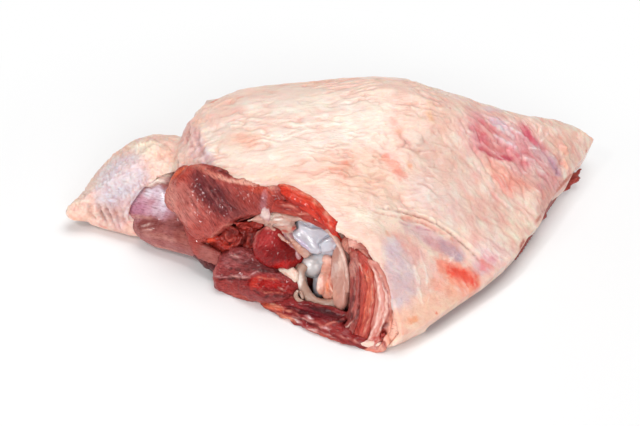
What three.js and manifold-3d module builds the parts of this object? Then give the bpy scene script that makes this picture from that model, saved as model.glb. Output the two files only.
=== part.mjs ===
// A raw turkey thigh, bone in and skin on, lying skin side up on a flat surface.
// Millimetres, +Z up. X runs along the thigh, and the knee was cut open on the side that faces -Y.
//
// Two kinds of surface make the whole object:
//   a mound is a closed cushion over an outline, with its own crest, sides and underside;
//   a belly is a closed sausage along a smooth spine, with an oval section that swells and tapers.
import * as THREE from 'three';
import { mergeVertices } from 'three/addons/utils/BufferGeometryUtils.js';
import Module from 'manifold-3d';

const wasm = await Module();
wasm.setup();

// ---------------------------------------------------------------- driving dimensions

const SKIN_THICKNESS = 2.2;
const PIECE_GAP = 0.3; // clearance between neighbouring pieces
const SKIN_HEM = 3.5; // height of the skin's lower edge above the surface
const SKIN_LIP = 0.8; // how far the skin's edge stands out of the cut face
const MEAT_INSET = SKIN_THICKNESS + 0.6; // the meat's depth below the skin's outer face
const MEAT_CUT = -0.6; // the plain meat between the muscles ends this far behind the cut face
const UP = new THREE.Vector3(0, 0, 1);
const ROOM = 300; // side of a cutting block that is wider than the object

// The cut face: a slope through the knee, from the floor line up to the edge of the skin.
const CUT_FOOT = new THREE.Vector3(-49, -27, 0); // left end of the cut's line on the floor
const CUT_LINE = new THREE.Vector3(0.875, -0.484, 0).normalize(); // direction of that line
const CUT_RISE = 50; // the face climbs this much
const CUT_SETBACK = 25; // while it leans back this much

// The thigh's outline seen from above. edge is the height where the side is widest, and side is how
// blunt the side is: 2 is round, more is boxier.
const THIGH_CORNERS = [
  { x: 31, y: -75, edge: 7, side: 2.3 }, // front corner
  { x: 64, y: -46, edge: 8, side: 2.3 },
  { x: 86, y: -24, edge: 9, side: 2.3 },
  { x: 104, y: 3, edge: 9, side: 2.3 },
  { x: 119, y: 30, edge: 10, side: 2.3 },
  { x: 132, y: 56, edge: 10, side: 2.4 },
  { x: 142, y: 77, edge: 12, side: 2.4 }, // right tip
  { x: 116, y: 82, edge: 10, side: 2.3 },
  { x: 75, y: 84, edge: 15, side: 2.3 },
  { x: 30, y: 90, edge: 22, side: 2.4 },
  { x: -22, y: 88, edge: 22, side: 2.5 },
  { x: -62, y: 74, edge: 22, side: 2.6 }, // back left
  { x: -73, y: 40, edge: 24, side: 2.6 },
  { x: -72, y: 8, edge: 26, side: 2.6 },
  { x: -60, y: -30, edge: 20, side: 2.4 }, // these last three lie in front of the cut
  { x: -20, y: -66, edge: 14, side: 2.4 },
  { x: 8, y: -80, edge: 9, side: 2.2 },
];
const THIGH_CENTRE = { x: 20, y: 15 };

// The top is a plateau that rises a little towards the back. Beyond a soft fold line it falls away
// in the direction FALL, to the right and the front.
const PLATEAU_HEIGHT = 56.5;
const PLATEAU_RISE = 0.08; // per mm towards the back
const FALL = new THREE.Vector2(0.8, -0.6);
const FALL_START = 12; // distance of the fold line from the origin, along FALL
const FALL_STEEPNESS = 0.5;
const FALL_SOFTNESS = 14;
const THIGH_SWELLINGS = [
  { x: 44, y: 58, height: 10, along: 30, across: 35 }, // the highest point, over the thick of the meat
  { x: 26, y: -48, height: 13, along: 22, across: 22 }, // over the flap beside the opening
];
const SKIN_VALLEY = { from: [30, -8], to: [86, -38], depth: 3, width: 6 };

// The lobe of meat that lies folded at the left, past the knee.
const LOBE_CORNERS = [
  { x: -124, y: 20, edge: 7, side: 2 }, // left tip
  { x: -108, y: 18, edge: 7, side: 2 },
  { x: -90, y: 9, edge: 9, side: 2.1 },
  { x: -76, y: 1, edge: 11, side: 2.2 },
  { x: -58, y: -10, edge: 12, side: 2.2 },
  { x: -34, y: 6, edge: 14, side: 2.2 },
  { x: -36, y: 46, edge: 16, side: 2.2 },
  { x: -64, y: 66, edge: 17, side: 2.2 },
  { x: -94, y: 66, edge: 17, side: 2.2 },
  { x: -109, y: 51, edge: 14, side: 2.2 },
  { x: -119, y: 33, edge: 9, side: 2 },
];
const LOBE_CENTRE = { x: -76, y: 30 };
const LOBE_LOW = 14; // height of the lobe's top before its swelling
const LOBE_SWELLING = { x: -80, y: 40, height: 25, along: 44, across: 42 };
// The front of the lobe has no skin, only the muscle's own membrane. An oval marks that part.
const BARE_LOBE = { x: -66, y: -8, z: 8, along: 32, across: 45, high: 35 };

// Both mounds sink below the floor and are cut flat there, and few of their rows go underneath.
const THIGH_SINK = -13;
const LOBE_SINK = -10;
const UNDERSIDE_SHARE = 0.25;

// ---------------------------------------------------------------- shape helpers

// A smooth closed curve through the corners, always anticlockwise.
function outlineCurve(corners) {
  const flat = corners.map((c) => new THREE.Vector2(c.x, c.y));
  const ordered = THREE.ShapeUtils.isClockWise(flat) ? [...corners].reverse() : corners;
  const points = ordered.map((c) => new THREE.Vector3(c.x, c.y, c.edge));
  return { ordered, curve: new THREE.CatmullRomCurve3(points, true, 'centripetal') };
}

// The corners' bluntness at a share of the way round, eased from one corner to the next.
function sideAlong(corners, turn) {
  const at = turn * corners.length;
  const from = Math.floor(at) % corners.length;
  const share = THREE.MathUtils.smoothstep(at - Math.floor(at), 0, 1);
  return THREE.MathUtils.lerp(corners[from].side, corners[(from + 1) % corners.length].side, share);
}

// Only the places of a geometry's vertices, with the seams closed.
function closed(geometry) {
  geometry.deleteAttribute('normal');
  geometry.deleteAttribute('uv');
  return mergeVertices(geometry, 1e-3);
}

// Gives every vertex of a unit sphere its new place. place gets the share of a turn round the pole
// and the latitude in radians.
function mouldedSphere(columns, rows, place) {
  const sphere = new THREE.SphereGeometry(1, columns, rows);
  const position = sphere.getAttribute('position');
  const uv = sphere.getAttribute('uv');
  for (let i = 0; i < position.count; i++) {
    const turn = THREE.MathUtils.euclideanModulo(uv.getX(i), 1);
    const point = place(turn, (uv.getY(i) - 0.5) * Math.PI);
    position.setXYZ(i, point.x, point.y, point.z);
  }
  return closed(sphere);
}

const rounded = (value, side) => Math.sign(value) * Math.abs(value) ** (2 / side);

// A closed cushion over an outline. top gives the height of its upper surface and bottom is the
// level of its lower one. underside is the share of the rows below the rim.
function moundGeometry({ corners, centre, top, bottom, columns, rows, underside = 0.5 }) {
  const { ordered, curve } = outlineCurve(corners);
  return mouldedSphere(columns, rows, (turn, evenLatitude) => {
    const share = evenLatitude / Math.PI + 0.5 - underside;
    const latitude = (share / (share < 0 ? underside : 1 - underside)) * (Math.PI / 2);
    const rim = curve.getPoint(turn);
    const side = sideAlong(ordered, turn);
    const reach = rounded(Math.cos(latitude), side);
    const lift = rounded(Math.sin(latitude), side);
    const x = centre.x + (rim.x - centre.x) * reach;
    const y = centre.y + (rim.y - centre.y) * reach;
    const limit = lift > 0 ? top(x, y) : bottom;
    return new THREE.Vector3(x, y, rim.z + (limit - rim.z) * Math.abs(lift));
  });
}

function swelling(x, y, { x: middleX, y: middleY, height, along, across }) {
  const away = ((x - middleX) / along) ** 2 + ((y - middleY) / across) ** 2;
  return height * Math.exp(-away);
}

// The depth of a soft groove between two places, which fades out at both ends.
function valley(x, y, { from, to, depth, width }) {
  const start = new THREE.Vector2(...from);
  const along = new THREE.Vector2(...to).sub(start);
  const here = new THREE.Vector2(x, y).sub(start);
  const share = THREE.MathUtils.clamp(here.dot(along) / along.lengthSq(), 0, 1);
  const away = here.distanceTo(along.multiplyScalar(share));
  return depth * Math.sin(Math.PI * share) * Math.exp(-((away / width) ** 2));
}

function thighTop(x, y) {
  const past = (new THREE.Vector2(x, y).dot(FALL) - FALL_START) / FALL_SOFTNESS;
  const fallen = FALL_STEEPNESS * FALL_SOFTNESS * Math.log(1 + Math.exp(past));
  const level = PLATEAU_HEIGHT + PLATEAU_RISE * y - fallen - valley(x, y, SKIN_VALLEY);
  return THIGH_SWELLINGS.reduce((height, s) => height + swelling(x, y, s), level);
}

const lobeTop = (x, y) => LOBE_LOW + swelling(x, y, LOBE_SWELLING);

// A value between the entries of a list, at a share of the way from the first to the last.
function between(list, share) {
  const at = THREE.MathUtils.clamp(share, 0, 1) * (list.length - 1);
  const from = Math.min(Math.floor(at), list.length - 2);
  return THREE.MathUtils.lerp(list[from], list[from + 1], at - from);
}

// A closed sausage along a spine. across and thick are half widths, listed from the first end to
// the last, and lift is the direction in which thick is measured.
function bellyGeometry({ spine, across, thick, lift = UP, side = 2.8, columns, rows }) {
  const curve = new THREE.CatmullRomCurve3(spine, false, 'centripetal');
  return mouldedSphere(columns, rows, (turn, latitude) => {
    const t = 0.5 + 0.5 * rounded(Math.sin(latitude), side);
    const reach = rounded(Math.cos(latitude), side);
    const forward = curve.getTangentAt(t);
    const sideways = new THREE.Vector3().crossVectors(lift, forward).normalize();
    const upward = new THREE.Vector3().crossVectors(forward, sideways);
    const angle = turn * 2 * Math.PI;
    return curve.getPointAt(t)
      .addScaledVector(sideways, Math.cos(angle) * reach * between(across, t))
      .addScaledVector(upward, Math.sin(angle) * reach * between(thick, t));
  });
}

// The same closed surface moved outwards, or inwards where distance is below zero.
function grown(geometry, distance) {
  const moved = geometry.clone();
  moved.computeVertexNormals();
  const position = moved.getAttribute('position');
  const normal = moved.getAttribute('normal');
  const place = new THREE.Vector3();
  const outwards = new THREE.Vector3();
  for (let i = 0; i < position.count; i++) {
    outwards.fromBufferAttribute(normal, i);
    place.fromBufferAttribute(position, i).addScaledVector(outwards, distance);
    position.setXYZ(i, place.x, place.y, place.z);
  }
  moved.deleteAttribute('normal');
  return moved;
}

function solidOf(geometry) {
  return new wasm.Manifold(new wasm.Mesh({
    numProp: 3,
    vertProperties: new Float32Array(geometry.getAttribute('position').array),
    triVerts: new Uint32Array(geometry.index.array),
  }));
}

// One solid of several surfaces, each moved outwards by distance.
function joined(surfaces, distance = 0) {
  return surfaces.map((surface) => solidOf(grown(surface, distance))).reduce((a, b) => a.add(b));
}

function geometryOf(solid) {
  const mesh = solid.getMesh();
  const geometry = new THREE.BufferGeometry();
  geometry.setAttribute('position', new THREE.BufferAttribute(mesh.vertProperties, 3));
  geometry.setIndex(new THREE.BufferAttribute(mesh.triVerts, 1));
  geometry.computeVertexNormals();
  return geometry;
}

// The largest of the bodies that a cut leaves.
function largest(solid) {
  return solid.decompose().reduce((best, body) => (body.volume() > best.volume() ? body : best));
}

// ---------------------------------------------------------------- the cut face's own axes

// On the cut face a runs right along the floor line, b up the slope and c straight out of it.
const CUT_OUT = new THREE.Vector3().crossVectors(CUT_LINE, UP).multiplyScalar(CUT_RISE)
  .addScaledVector(UP, CUT_SETBACK).normalize();
const CUT_UP = new THREE.Vector3().crossVectors(CUT_OUT, CUT_LINE);
const CUT_FRAME = new THREE.Matrix4().makeBasis(CUT_LINE, CUT_UP, CUT_OUT).setPosition(CUT_FOOT);

const onFace = (a, b, c) => new THREE.Vector3(a, b, c).applyMatrix4(CUT_FRAME);

// A piece seen at the cut: its outline on the face, the level of its rim, how far its front stands
// out from there and how deep it goes behind.
function faceLobe({ outline, level = 0, out, depth, side = 2.6, columns = 11, rows = 6 }) {
  const corners = outline.map(([x, y]) => ({ x, y, edge: level, side }));
  const sum = corners.reduce((total, c) => total.add(new THREE.Vector2(c.x, c.y)), new THREE.Vector2());
  const surface = moundGeometry({
    corners,
    centre: sum.divideScalar(corners.length),
    top: () => level + out,
    bottom: level - depth,
    columns,
    rows,
  });
  return surface.applyMatrix4(CUT_FRAME);
}

// A belly whose spine is given on the face.
const faceBelly = ({ spine, ...rest }) => bellyGeometry({
  spine: spine.map((place) => onFace(...place)), lift: CUT_OUT, ...rest,
});

// ---------------------------------------------------------------- muscles at the cut

const upperMuscle = faceLobe({
  outline: [
    [-29, 52], [-35, 42], [-34, 32], [-25, 25], [-11, 21], [-3, 29], [5, 38], [16, 43],
    [28, 50], [27, 57], [12, 56], [-4, 56], [-18, 57],
  ],
  level: -1, out: 4, depth: 9, side: 3.2, columns: 18, rows: 6,
});
const rimMuscle = faceBelly({
  spine: [[16, 55, -1], [30, 55, 0], [44, 52, 0], [54, 46, -1], [60, 41, -3]],
  across: [2, 3.4, 3.6, 3, 2], thick: [2.5, 3.5, 3.5, 3, 2.5], columns: 8, rows: 8,
});
const middleMuscle = faceBelly({
  spine: [[17, 50, -4], [28, 51, -3], [40, 49, -3], [52, 44, -5]],
  across: [3.6, 4.4, 3.2, 2], thick: [4, 5, 4.5, 3], columns: 8, rows: 7,
});
const roundMuscle = faceLobe({
  outline: [
    [18, 38], [13, 32], [13, 25], [17, 20], [24, 19], [31, 19], [36, 23], [38, 29], [34, 34], [26, 38],
  ],
  level: -3, out: 5, depth: 16, side: 2.8,
});
const rolledMuscle = faceLobe({
  outline: [[-16, 20], [-8, 26], [-2, 31], [6, 35], [12, 32], [12, 23], [4, 17], [-6, 15]],
  level: -7, out: 4, depth: 9, side: 2.2,
});
const lowerMuscle = faceLobe({
  outline: [
    [-3, 19], [7, 23], [16, 24], [25, 20], [34, 18], [42, 15], [40, 10], [28, 4], [15, -3],
    [5, -4], [-3, -2], [-4, 8],
  ],
  level: -5, out: 7, depth: 12, side: 2.8, columns: 16, rows: 6,
});
const floorMuscle = faceBelly({
  spine: [[24, 1, -6], [44, 2, -6], [60, 1, -4], [76, 1, -4], [88, 2, -6]],
  across: [3, 5, 7, 7, 5], thick: [4, 5, 6, 6, 4], columns: 8, rows: 8,
});
const underMuscle = bellyGeometry({
  spine: [new THREE.Vector3(-70, 0, 6), new THREE.Vector3(-57, -14, 5), new THREE.Vector3(-46, -24, 6)],
  across: [4, 6, 4], thick: [3, 4.5, 3], side: 2.4, columns: 10, rows: 7,
});

// The wall of folded layers at the right end of the opening.
const flapInner = faceBelly({
  spine: [[61, 37, -9], [67, 28, -8], [71, 18, -7], [73, 6, -7]],
  across: [3, 4.5, 5, 4], thick: [4, 5, 5, 4], columns: 8, rows: 7,
});
const flapMuscle = faceBelly({
  spine: [[57, 44, -5], [66, 37, -4], [73, 28, -4], [78, 17, -4], [81, 5, -6]],
  across: [2.5, 4, 4.6, 5, 4], thick: [4, 4.5, 5, 5, 4], columns: 8, rows: 8,
});
const flapFascia = faceBelly({
  spine: [[62, 44, -4], [71, 37, -3], [79, 27, -3], [85, 16, -3], [89, 4, -5]],
  across: [2, 3.2, 3.6, 4, 3.2], thick: [3, 4, 4.5, 4.5, 3.5], columns: 8, rows: 8,
});

// ---------------------------------------------------------------- the knee

const FEMUR_FAR_END = new THREE.Vector3(52, 62, 27);
const femurShaft = bellyGeometry({
  spine: [onFace(42, 33, -14), onFace(40, 30, -40), FEMUR_FAR_END],
  across: [11, 6, 5.5, 6.5, 10], thick: [9, 6, 5.5, 6, 8], lift: CUT_UP, side: 3, columns: 7, rows: 8,
});
const upperCondyle = faceLobe({
  outline: [[27, 38], [30, 33], [38, 31], [50, 31], [55, 37], [53, 44], [42, 46], [31, 44]],
  level: -15, out: 4, depth: 12, columns: 12,
});
const lowerCondyle = faceLobe({
  outline: [[32, 25], [34, 19], [40, 17], [45, 20], [46, 26], [42, 30], [36, 30]],
  level: -15, out: 7, depth: 10, side: 2.2, columns: 12, rows: 7,
});
const jointCartilage = faceLobe({
  outline: [
    [27, 38], [31, 34], [37, 32], [45, 31], [51, 32], [54, 37], [53, 42], [48, 46], [38, 46], [30, 44],
  ],
  level: -10, out: 2.5, depth: 3, side: 2.8, columns: 14, rows: 5,
});
const tendonLoop = faceBelly({
  spine: [[35, 24, -7], [38, 17, -6], [42, 11, -6], [48, 8, -7], [55, 10, -9], [59, 16, -11]],
  across: [2.2, 2.6, 2.6, 3, 3.4, 3], thick: [1.8, 2, 2, 2.2, 2.2, 2], side: 3, columns: 7, rows: 14,
});
const tendonBand = faceBelly({
  spine: [[17, 43, -6], [24, 39, -5], [30, 33, -5], [36, 26, -6]],
  across: [4, 3.2, 2.6, 2], thick: [2.5, 2.2, 2, 2], side: 3, columns: 7, rows: 8,
});
const jointFat = faceBelly({
  spine: [[8, 41, -5], [20, 46, -5], [34, 48, -6], [47, 47, -8], [56, 42, -9]],
  across: [2, 4, 3.6, 3, 2.6], thick: [2.5, 3, 3, 3, 3], side: 2.6, columns: 8, rows: 10,
});
const fatLobe = faceBelly({
  spine: [[47, 29, -11], [50, 24, -9], [52, 17, -9], [53, 11, -10]],
  across: [3, 4, 4.4, 3.4], thick: [2.5, 3.5, 3.5, 3], side: 2.6, columns: 8, rows: 8,
});
const fatWedge = faceLobe({
  outline: [[26, 17], [29, 20], [34, 23], [38, 19], [41, 11], [34, 13]],
  level: -9, out: 2, depth: 5, side: 2.4, columns: 10, rows: 5,
});
const fascia = faceLobe({
  outline: [[51, 40], [53, 26], [56, 14], [62, 9], [67, 12], [65, 24], [62, 34], [58, 42]],
  level: -12, out: 3.5, depth: 6, columns: 12, rows: 5,
});

// The hollow that was opened round the knee.
const jointHollow = faceLobe({
  outline: [
    [-18, 18], [-8, 27], [4, 37], [16, 43], [30, 47], [44, 50], [55, 46], [62, 38], [67, 25],
    [69, 12], [62, 6], [46, 6], [38, 10], [28, 17], [14, 19], [2, 17],
  ],
  level: 2, out: 4, depth: 22, side: 3, columns: 14, rows: 5,
});

// ---------------------------------------------------------------- the outer form

const thighMound = moundGeometry({
  corners: THIGH_CORNERS, centre: THIGH_CENTRE, top: thighTop, bottom: THIGH_SINK,
  columns: 32, rows: 10, underside: UNDERSIDE_SHARE,
});
const lobeMound = moundGeometry({
  corners: LOBE_CORNERS, centre: LOBE_CENTRE, top: lobeTop, bottom: LOBE_SINK,
  columns: 20, rows: 8, underside: UNDERSIDE_SHARE,
});
// The small nub that ends the lobe.
const tipNub = bellyGeometry({
  spine: [new THREE.Vector3(-125, 21, 8), new THREE.Vector3(-117, 24, 9), new THREE.Vector3(-106, 28, 13)],
  across: [5, 7, 8], thick: [5, 7, 9], side: 2.4, columns: 12, rows: 8,
});
const form = [thighMound, lobeMound, tipNub];

// Everything in front of the cut face, from the distance c out of it.
function beyondCut(c) {
  const block = new THREE.BoxGeometry(2 * ROOM, 2 * ROOM, ROOM);
  block.translate(0, 0, c + ROOM / 2);
  return solidOf(closed(block).applyMatrix4(CUT_FRAME));
}

function below(height) {
  const block = new THREE.BoxGeometry(2 * ROOM, 2 * ROOM, ROOM);
  block.translate(0, 0, height - ROOM / 2);
  return solidOf(closed(block));
}

function bareLobe(margin) {
  const oval = new THREE.SphereGeometry(1, 18, 12);
  oval.scale(BARE_LOBE.along - margin, BARE_LOBE.across - margin, BARE_LOBE.high - margin);
  oval.translate(BARE_LOBE.x, BARE_LOBE.y, BARE_LOBE.z);
  return solidOf(closed(oval));
}

// The skin, or with a margin the room that it needs.
const skinWith = (margin) => joined(form, margin)
  .subtract(joined(form, -SKIN_THICKNESS - margin))
  .subtract(beyondCut(SKIN_LIP + margin))
  .subtract(bareLobe(margin))
  .subtract(below(SKIN_HEM - margin));

// ---------------------------------------------------------------- carving

// Pieces in the order in which they keep their full shape: each is cut by all those before it.
const RECIPE = [
  { name: 'femur', surfaces: [femurShaft, upperCondyle, lowerCondyle], color: 0xe6dcd2, roughness: 0.45 },
  { name: 'joint_cartilage', surfaces: [jointCartilage], color: 0xd9dadf, roughness: 0.25 },
  { name: 'tendon_loop', surfaces: [tendonLoop], color: 0xcfb6a4, roughness: 0.35 },
  { name: 'tendon_band', surfaces: [tendonBand], color: 0xd8b79f, roughness: 0.4 },
  { name: 'fat_lobe', surfaces: [fatLobe], color: 0xf3b9a0, roughness: 0.4 },
  { name: 'joint_fat', surfaces: [jointFat], color: 0xe9cdb5, roughness: 0.45 },
  { name: 'round_muscle', surfaces: [roundMuscle], color: 0xa63638, roughness: 0.3 },
  { name: 'fat_wedge', surfaces: [fatWedge], color: 0xeedac2, roughness: 0.45 },
  { name: 'fascia', surfaces: [fascia], color: 0xd0a496, roughness: 0.35 },
  { name: 'rolled_muscle', surfaces: [rolledMuscle], color: 0x962c28, roughness: 0.3 },
  { name: 'upper_muscle', surfaces: [upperMuscle], color: 0x8d4646, roughness: 0.35 },
  { name: 'rim_muscle', surfaces: [rimMuscle], color: 0xe17969, roughness: 0.3 },
  { name: 'middle_muscle', surfaces: [middleMuscle], color: 0xba4a3e, roughness: 0.3 },
  { name: 'lower_muscle', surfaces: [lowerMuscle], color: 0x9d4a4b, roughness: 0.3 },
  { name: 'flap_muscle', surfaces: [flapMuscle], color: 0xe06f5f, roughness: 0.35 },
  { name: 'flap_inner', surfaces: [flapInner], color: 0xaf6057, roughness: 0.35 },
  { name: 'flap_fascia', surfaces: [flapFascia], color: 0xe19b8e, roughness: 0.35 },
  { name: 'floor_muscle', surfaces: [floorMuscle], color: 0xa84947, roughness: 0.3 },
  { name: 'under_muscle', surfaces: [underMuscle], color: 0x6e2f33, roughness: 0.35 },
];

const thigh = new THREE.Group();

function addPiece(name, solid, color, roughness) {
  const material = new THREE.MeshStandardMaterial({ color, roughness, metalness: 0 });
  const mesh = new THREE.Mesh(geometryOf(largest(solid)), material);
  mesh.name = name;
  thigh.add(mesh);
}

const floor = below(0);
const skinRoom = skinWith(PIECE_GAP);
const taken = []; // the room of each piece so far, with its gap
const carved = (solid) => taken.reduce((rest, room) => rest.subtract(room), solid.subtract(floor));

for (const { name, surfaces, color, roughness } of RECIPE) {
  addPiece(name, carved(joined(surfaces).subtract(skinRoom)), color, roughness);
  taken.push(joined(surfaces, PIECE_GAP));
}

const thighMeat = joined([thighMound], -MEAT_INSET)
  .subtract(beyondCut(MEAT_CUT))
  .subtract(solidOf(jointHollow));
const thighRoom = joined([thighMound], PIECE_GAP - MEAT_INSET).subtract(beyondCut(MEAT_CUT + PIECE_GAP));
const lobeMeat = joined([lobeMound], -MEAT_INSET).subtract(thighRoom);

addPiece('thigh_meat', carved(thighMeat), 0xa15a5a, 0.35);
addPiece('lobe_meat', carved(lobeMeat), 0x8f5c66, 0.3);
addPiece('skin', skinWith(0), 0xf7cab4, 0.45);

// The origin goes under the middle of the thigh.
const bounds = new THREE.Box3().setFromObject(thigh);
const middle = bounds.getCenter(new THREE.Vector3());
thigh.position.set(-middle.x, -middle.y, -bounds.min.z);

export default thigh;
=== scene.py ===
import math

import bmesh
import bpy
import numpy as np
from mathutils import Matrix, Vector
from mathutils.bvhtree import BVHTree


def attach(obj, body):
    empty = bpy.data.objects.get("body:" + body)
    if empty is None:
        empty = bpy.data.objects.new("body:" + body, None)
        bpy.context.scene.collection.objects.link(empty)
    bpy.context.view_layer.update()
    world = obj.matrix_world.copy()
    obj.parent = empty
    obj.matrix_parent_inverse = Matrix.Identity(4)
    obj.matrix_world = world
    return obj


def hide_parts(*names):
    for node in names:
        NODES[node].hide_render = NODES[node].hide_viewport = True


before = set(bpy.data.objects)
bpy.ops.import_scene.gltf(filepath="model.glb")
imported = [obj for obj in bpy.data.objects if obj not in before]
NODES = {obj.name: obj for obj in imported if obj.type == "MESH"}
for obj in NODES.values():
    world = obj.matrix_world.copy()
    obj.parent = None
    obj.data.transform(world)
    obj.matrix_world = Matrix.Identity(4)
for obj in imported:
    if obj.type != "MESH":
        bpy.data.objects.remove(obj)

bl_info = {
    "name": "Raw turkey thigh",
    "version": (1, 0, 0),
    "blender": (4, 5, 0),
    "location": "3D View > Sidebar > Thigh",
    "description": "Builds the looks of a raw, skin-on turkey thigh round its CAD solids",
    "category": "Add Mesh",
}

MM = 0.001  # metres in a millimetre
SAME_PLACE = 0.001 * MM  # vertices closer than this are one
FLOOR_GAP = 0.05  # mm between the lowest meat and the surface that it lies on
SMOOTHING = 3  # passes that round off the steps of a remeshed piece

# The knee end's cut face: a point on it at the surface it lies on, and its directions along, up and out of it.
CUT_FOOT = np.array([-57.279, -36.457, 0.0])
CUT_OUT = np.array([-0.433, -0.783, 0.447]) / np.linalg.norm([-0.433, -0.783, 0.447])
CUT_ALONG = np.array([0.875, -0.484, 0.0])
CUT_ALONG = CUT_ALONG - CUT_OUT * (CUT_ALONG @ CUT_OUT)
CUT_ALONG = CUT_ALONG / np.linalg.norm(CUT_ALONG)
CUT_UP = np.cross(CUT_OUT, CUT_ALONG)
CUT_AXES = np.array([CUT_ALONG, CUT_UP, CUT_OUT])
CUT_MATRIX = Matrix.Translation(Vector(CUT_FOOT) * MM) @ Matrix(CUT_AXES.T.tolist()).to_4x4()


def to_cut(points):
    """Points in mm as distances along, up and out of the cut face"""
    return (points - CUT_FOOT) @ CUT_AXES.T


# ---------------------------------------------------------------- meshes and numbers


def points_of(mesh):
    flat = np.empty(len(mesh.vertices) * 3, np.float32)
    mesh.vertices.foreach_get("co", flat)
    return flat.reshape(-1, 3).astype(float) / MM


def normals_of(mesh):
    flat = np.empty(len(mesh.vertices) * 3, np.float32)
    mesh.vertices.foreach_get("normal", flat)
    return flat.reshape(-1, 3).astype(float)


def place_points(mesh, points):
    mesh.vertices.foreach_set("co", (points * MM).astype(np.float32).ravel())
    mesh.update()


def write_colour(mesh, name, colours):
    """Stores a linear colour at each vertex"""
    layer = mesh.attributes.new(name, "FLOAT_COLOR", "POINT")
    full = np.ones((len(colours), 4), np.float32)
    full[:, :3] = colours
    layer.data.foreach_set("color", full.ravel())


def write_vector(mesh, name, vectors):
    layer = mesh.attributes.new(name, "FLOAT_VECTOR", "POINT")
    layer.data.foreach_set("vector", vectors.astype(np.float32).ravel())


def linear(hex_colour):
    """The linear colour of an sRGB hex value"""
    values = [int(hex_colour[i : i + 2], 16) / 255 for i in (1, 3, 5)]
    return np.array([v / 12.92 if v <= 0.04045 else ((v + 0.055) / 1.055) ** 2.4 for v in values])


def plain(hex_colour, points):
    """The same linear colour for every point"""
    return np.tile(linear(hex_colour), (len(points), 1))


def paint_piece(mesh, colours, grain):
    """Gives the vertices the colour and the grain direction that their material reads"""
    write_colour(mesh, "Tint", np.clip(colours, 0, 1))
    write_vector(mesh, "Grain", grain)


def above_surface(points):
    """Points lifted to just above the surface that the thigh lies on"""
    points[:, 2] = np.maximum(points[:, 2], FLOOR_GAP)
    return points


def smooth_step(low, high, values):
    share = np.clip((values - low) / (high - low), 0, 1)
    return share * share * (3 - 2 * share)


def lattice_noise(points, seed):
    """Smooth noise between about -1 and 1, with one cell per unit"""
    generator = np.random.default_rng(int(seed * 10))
    order = np.tile(generator.permutation(256), 3)
    slopes = generator.normal(size=(256, 3))
    slopes /= np.linalg.norm(slopes, axis=1)[:, None]
    cell = np.floor(points).astype(int)
    local = points - cell
    cell &= 255
    ease = local**3 * (local * (local * 6 - 15) + 10)
    total = np.zeros(len(points))
    for dx in (0, 1):
        for dy in (0, 1):
            for dz in (0, 1):
                index = order[order[order[cell[:, 0] + dx] + cell[:, 1] + dy] + cell[:, 2] + dz]
                offset = local - (dx, dy, dz)
                weight = (
                    (ease[:, 0] if dx else 1 - ease[:, 0])
                    * (ease[:, 1] if dy else 1 - ease[:, 1])
                    * (ease[:, 2] if dz else 1 - ease[:, 2])
                )
                total += weight * (slopes[index] * offset).sum(axis=1)
    return total * 1.6


def layered_noise(points, seed, layers=3):
    """Noise with finer and weaker noise added to it"""
    return sum(lattice_noise(points * 2**i, seed + i) / 2**i for i in range(layers)) / 1.6


def creases(points, seed):
    """0 on the flats between creases, and down to -1 in narrow valleys"""
    return -((1 - np.minimum(1, np.abs(lattice_noise(points, seed)) * 3.4)) ** 2)


def turned(points, degrees):
    """Points turned round the Z axis, so that X lies along that direction"""
    angle = math.radians(degrees)
    c, s = math.cos(angle), math.sin(angle)
    return np.column_stack([points[:, 0] * c + points[:, 1] * s, points[:, 1] * c - points[:, 0] * s, points[:, 2]])


def from_line(points, line):
    """How far points are from a line through places, which side of it they are on, and how far along it they are"""
    line = np.array(line, float)
    if len(line) == 1:
        return np.linalg.norm(points - line[0], axis=1), np.ones(len(points)), np.full(len(points), 0.5)
    best = np.full(len(points), 1e9)
    side, along = np.ones(len(points)), np.zeros(len(points))
    before = 0.0
    for start, end in zip(line[:-1], line[1:]):
        length = np.linalg.norm(end - start)
        step = (end - start) / length
        reach = np.clip((points - start) @ step, 0, length)
        gap = points - start - reach[:, None] * step
        distance = np.linalg.norm(gap, axis=1)
        nearer = distance < best
        best[nearer] = distance[nearer]
        if points.shape[1] == 2:
            side[nearer] = np.sign(step[0] * gap[nearer, 1] - step[1] * gap[nearer, 0])
        along[nearer] = before + reach[nearer]
        before += length
    return best, side, along


# Brush strokes: mm that they waver by and between two wavers, the width in mm from which they don't, the share of their
# width over which they and the patches fade out, and the mm over which thin ones taper.
WOBBLE, WOBBLE_CELL = 0.4, 2.6
BROAD = 3
SOFT_EDGE = (0.35, 1.25)
TAPER = 2.5


def in_space(points):
    """Points of a plane or of space as X, Y and Z"""
    return np.pad(points, ((0, 0), (0, 3)))[:, :3]


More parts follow.
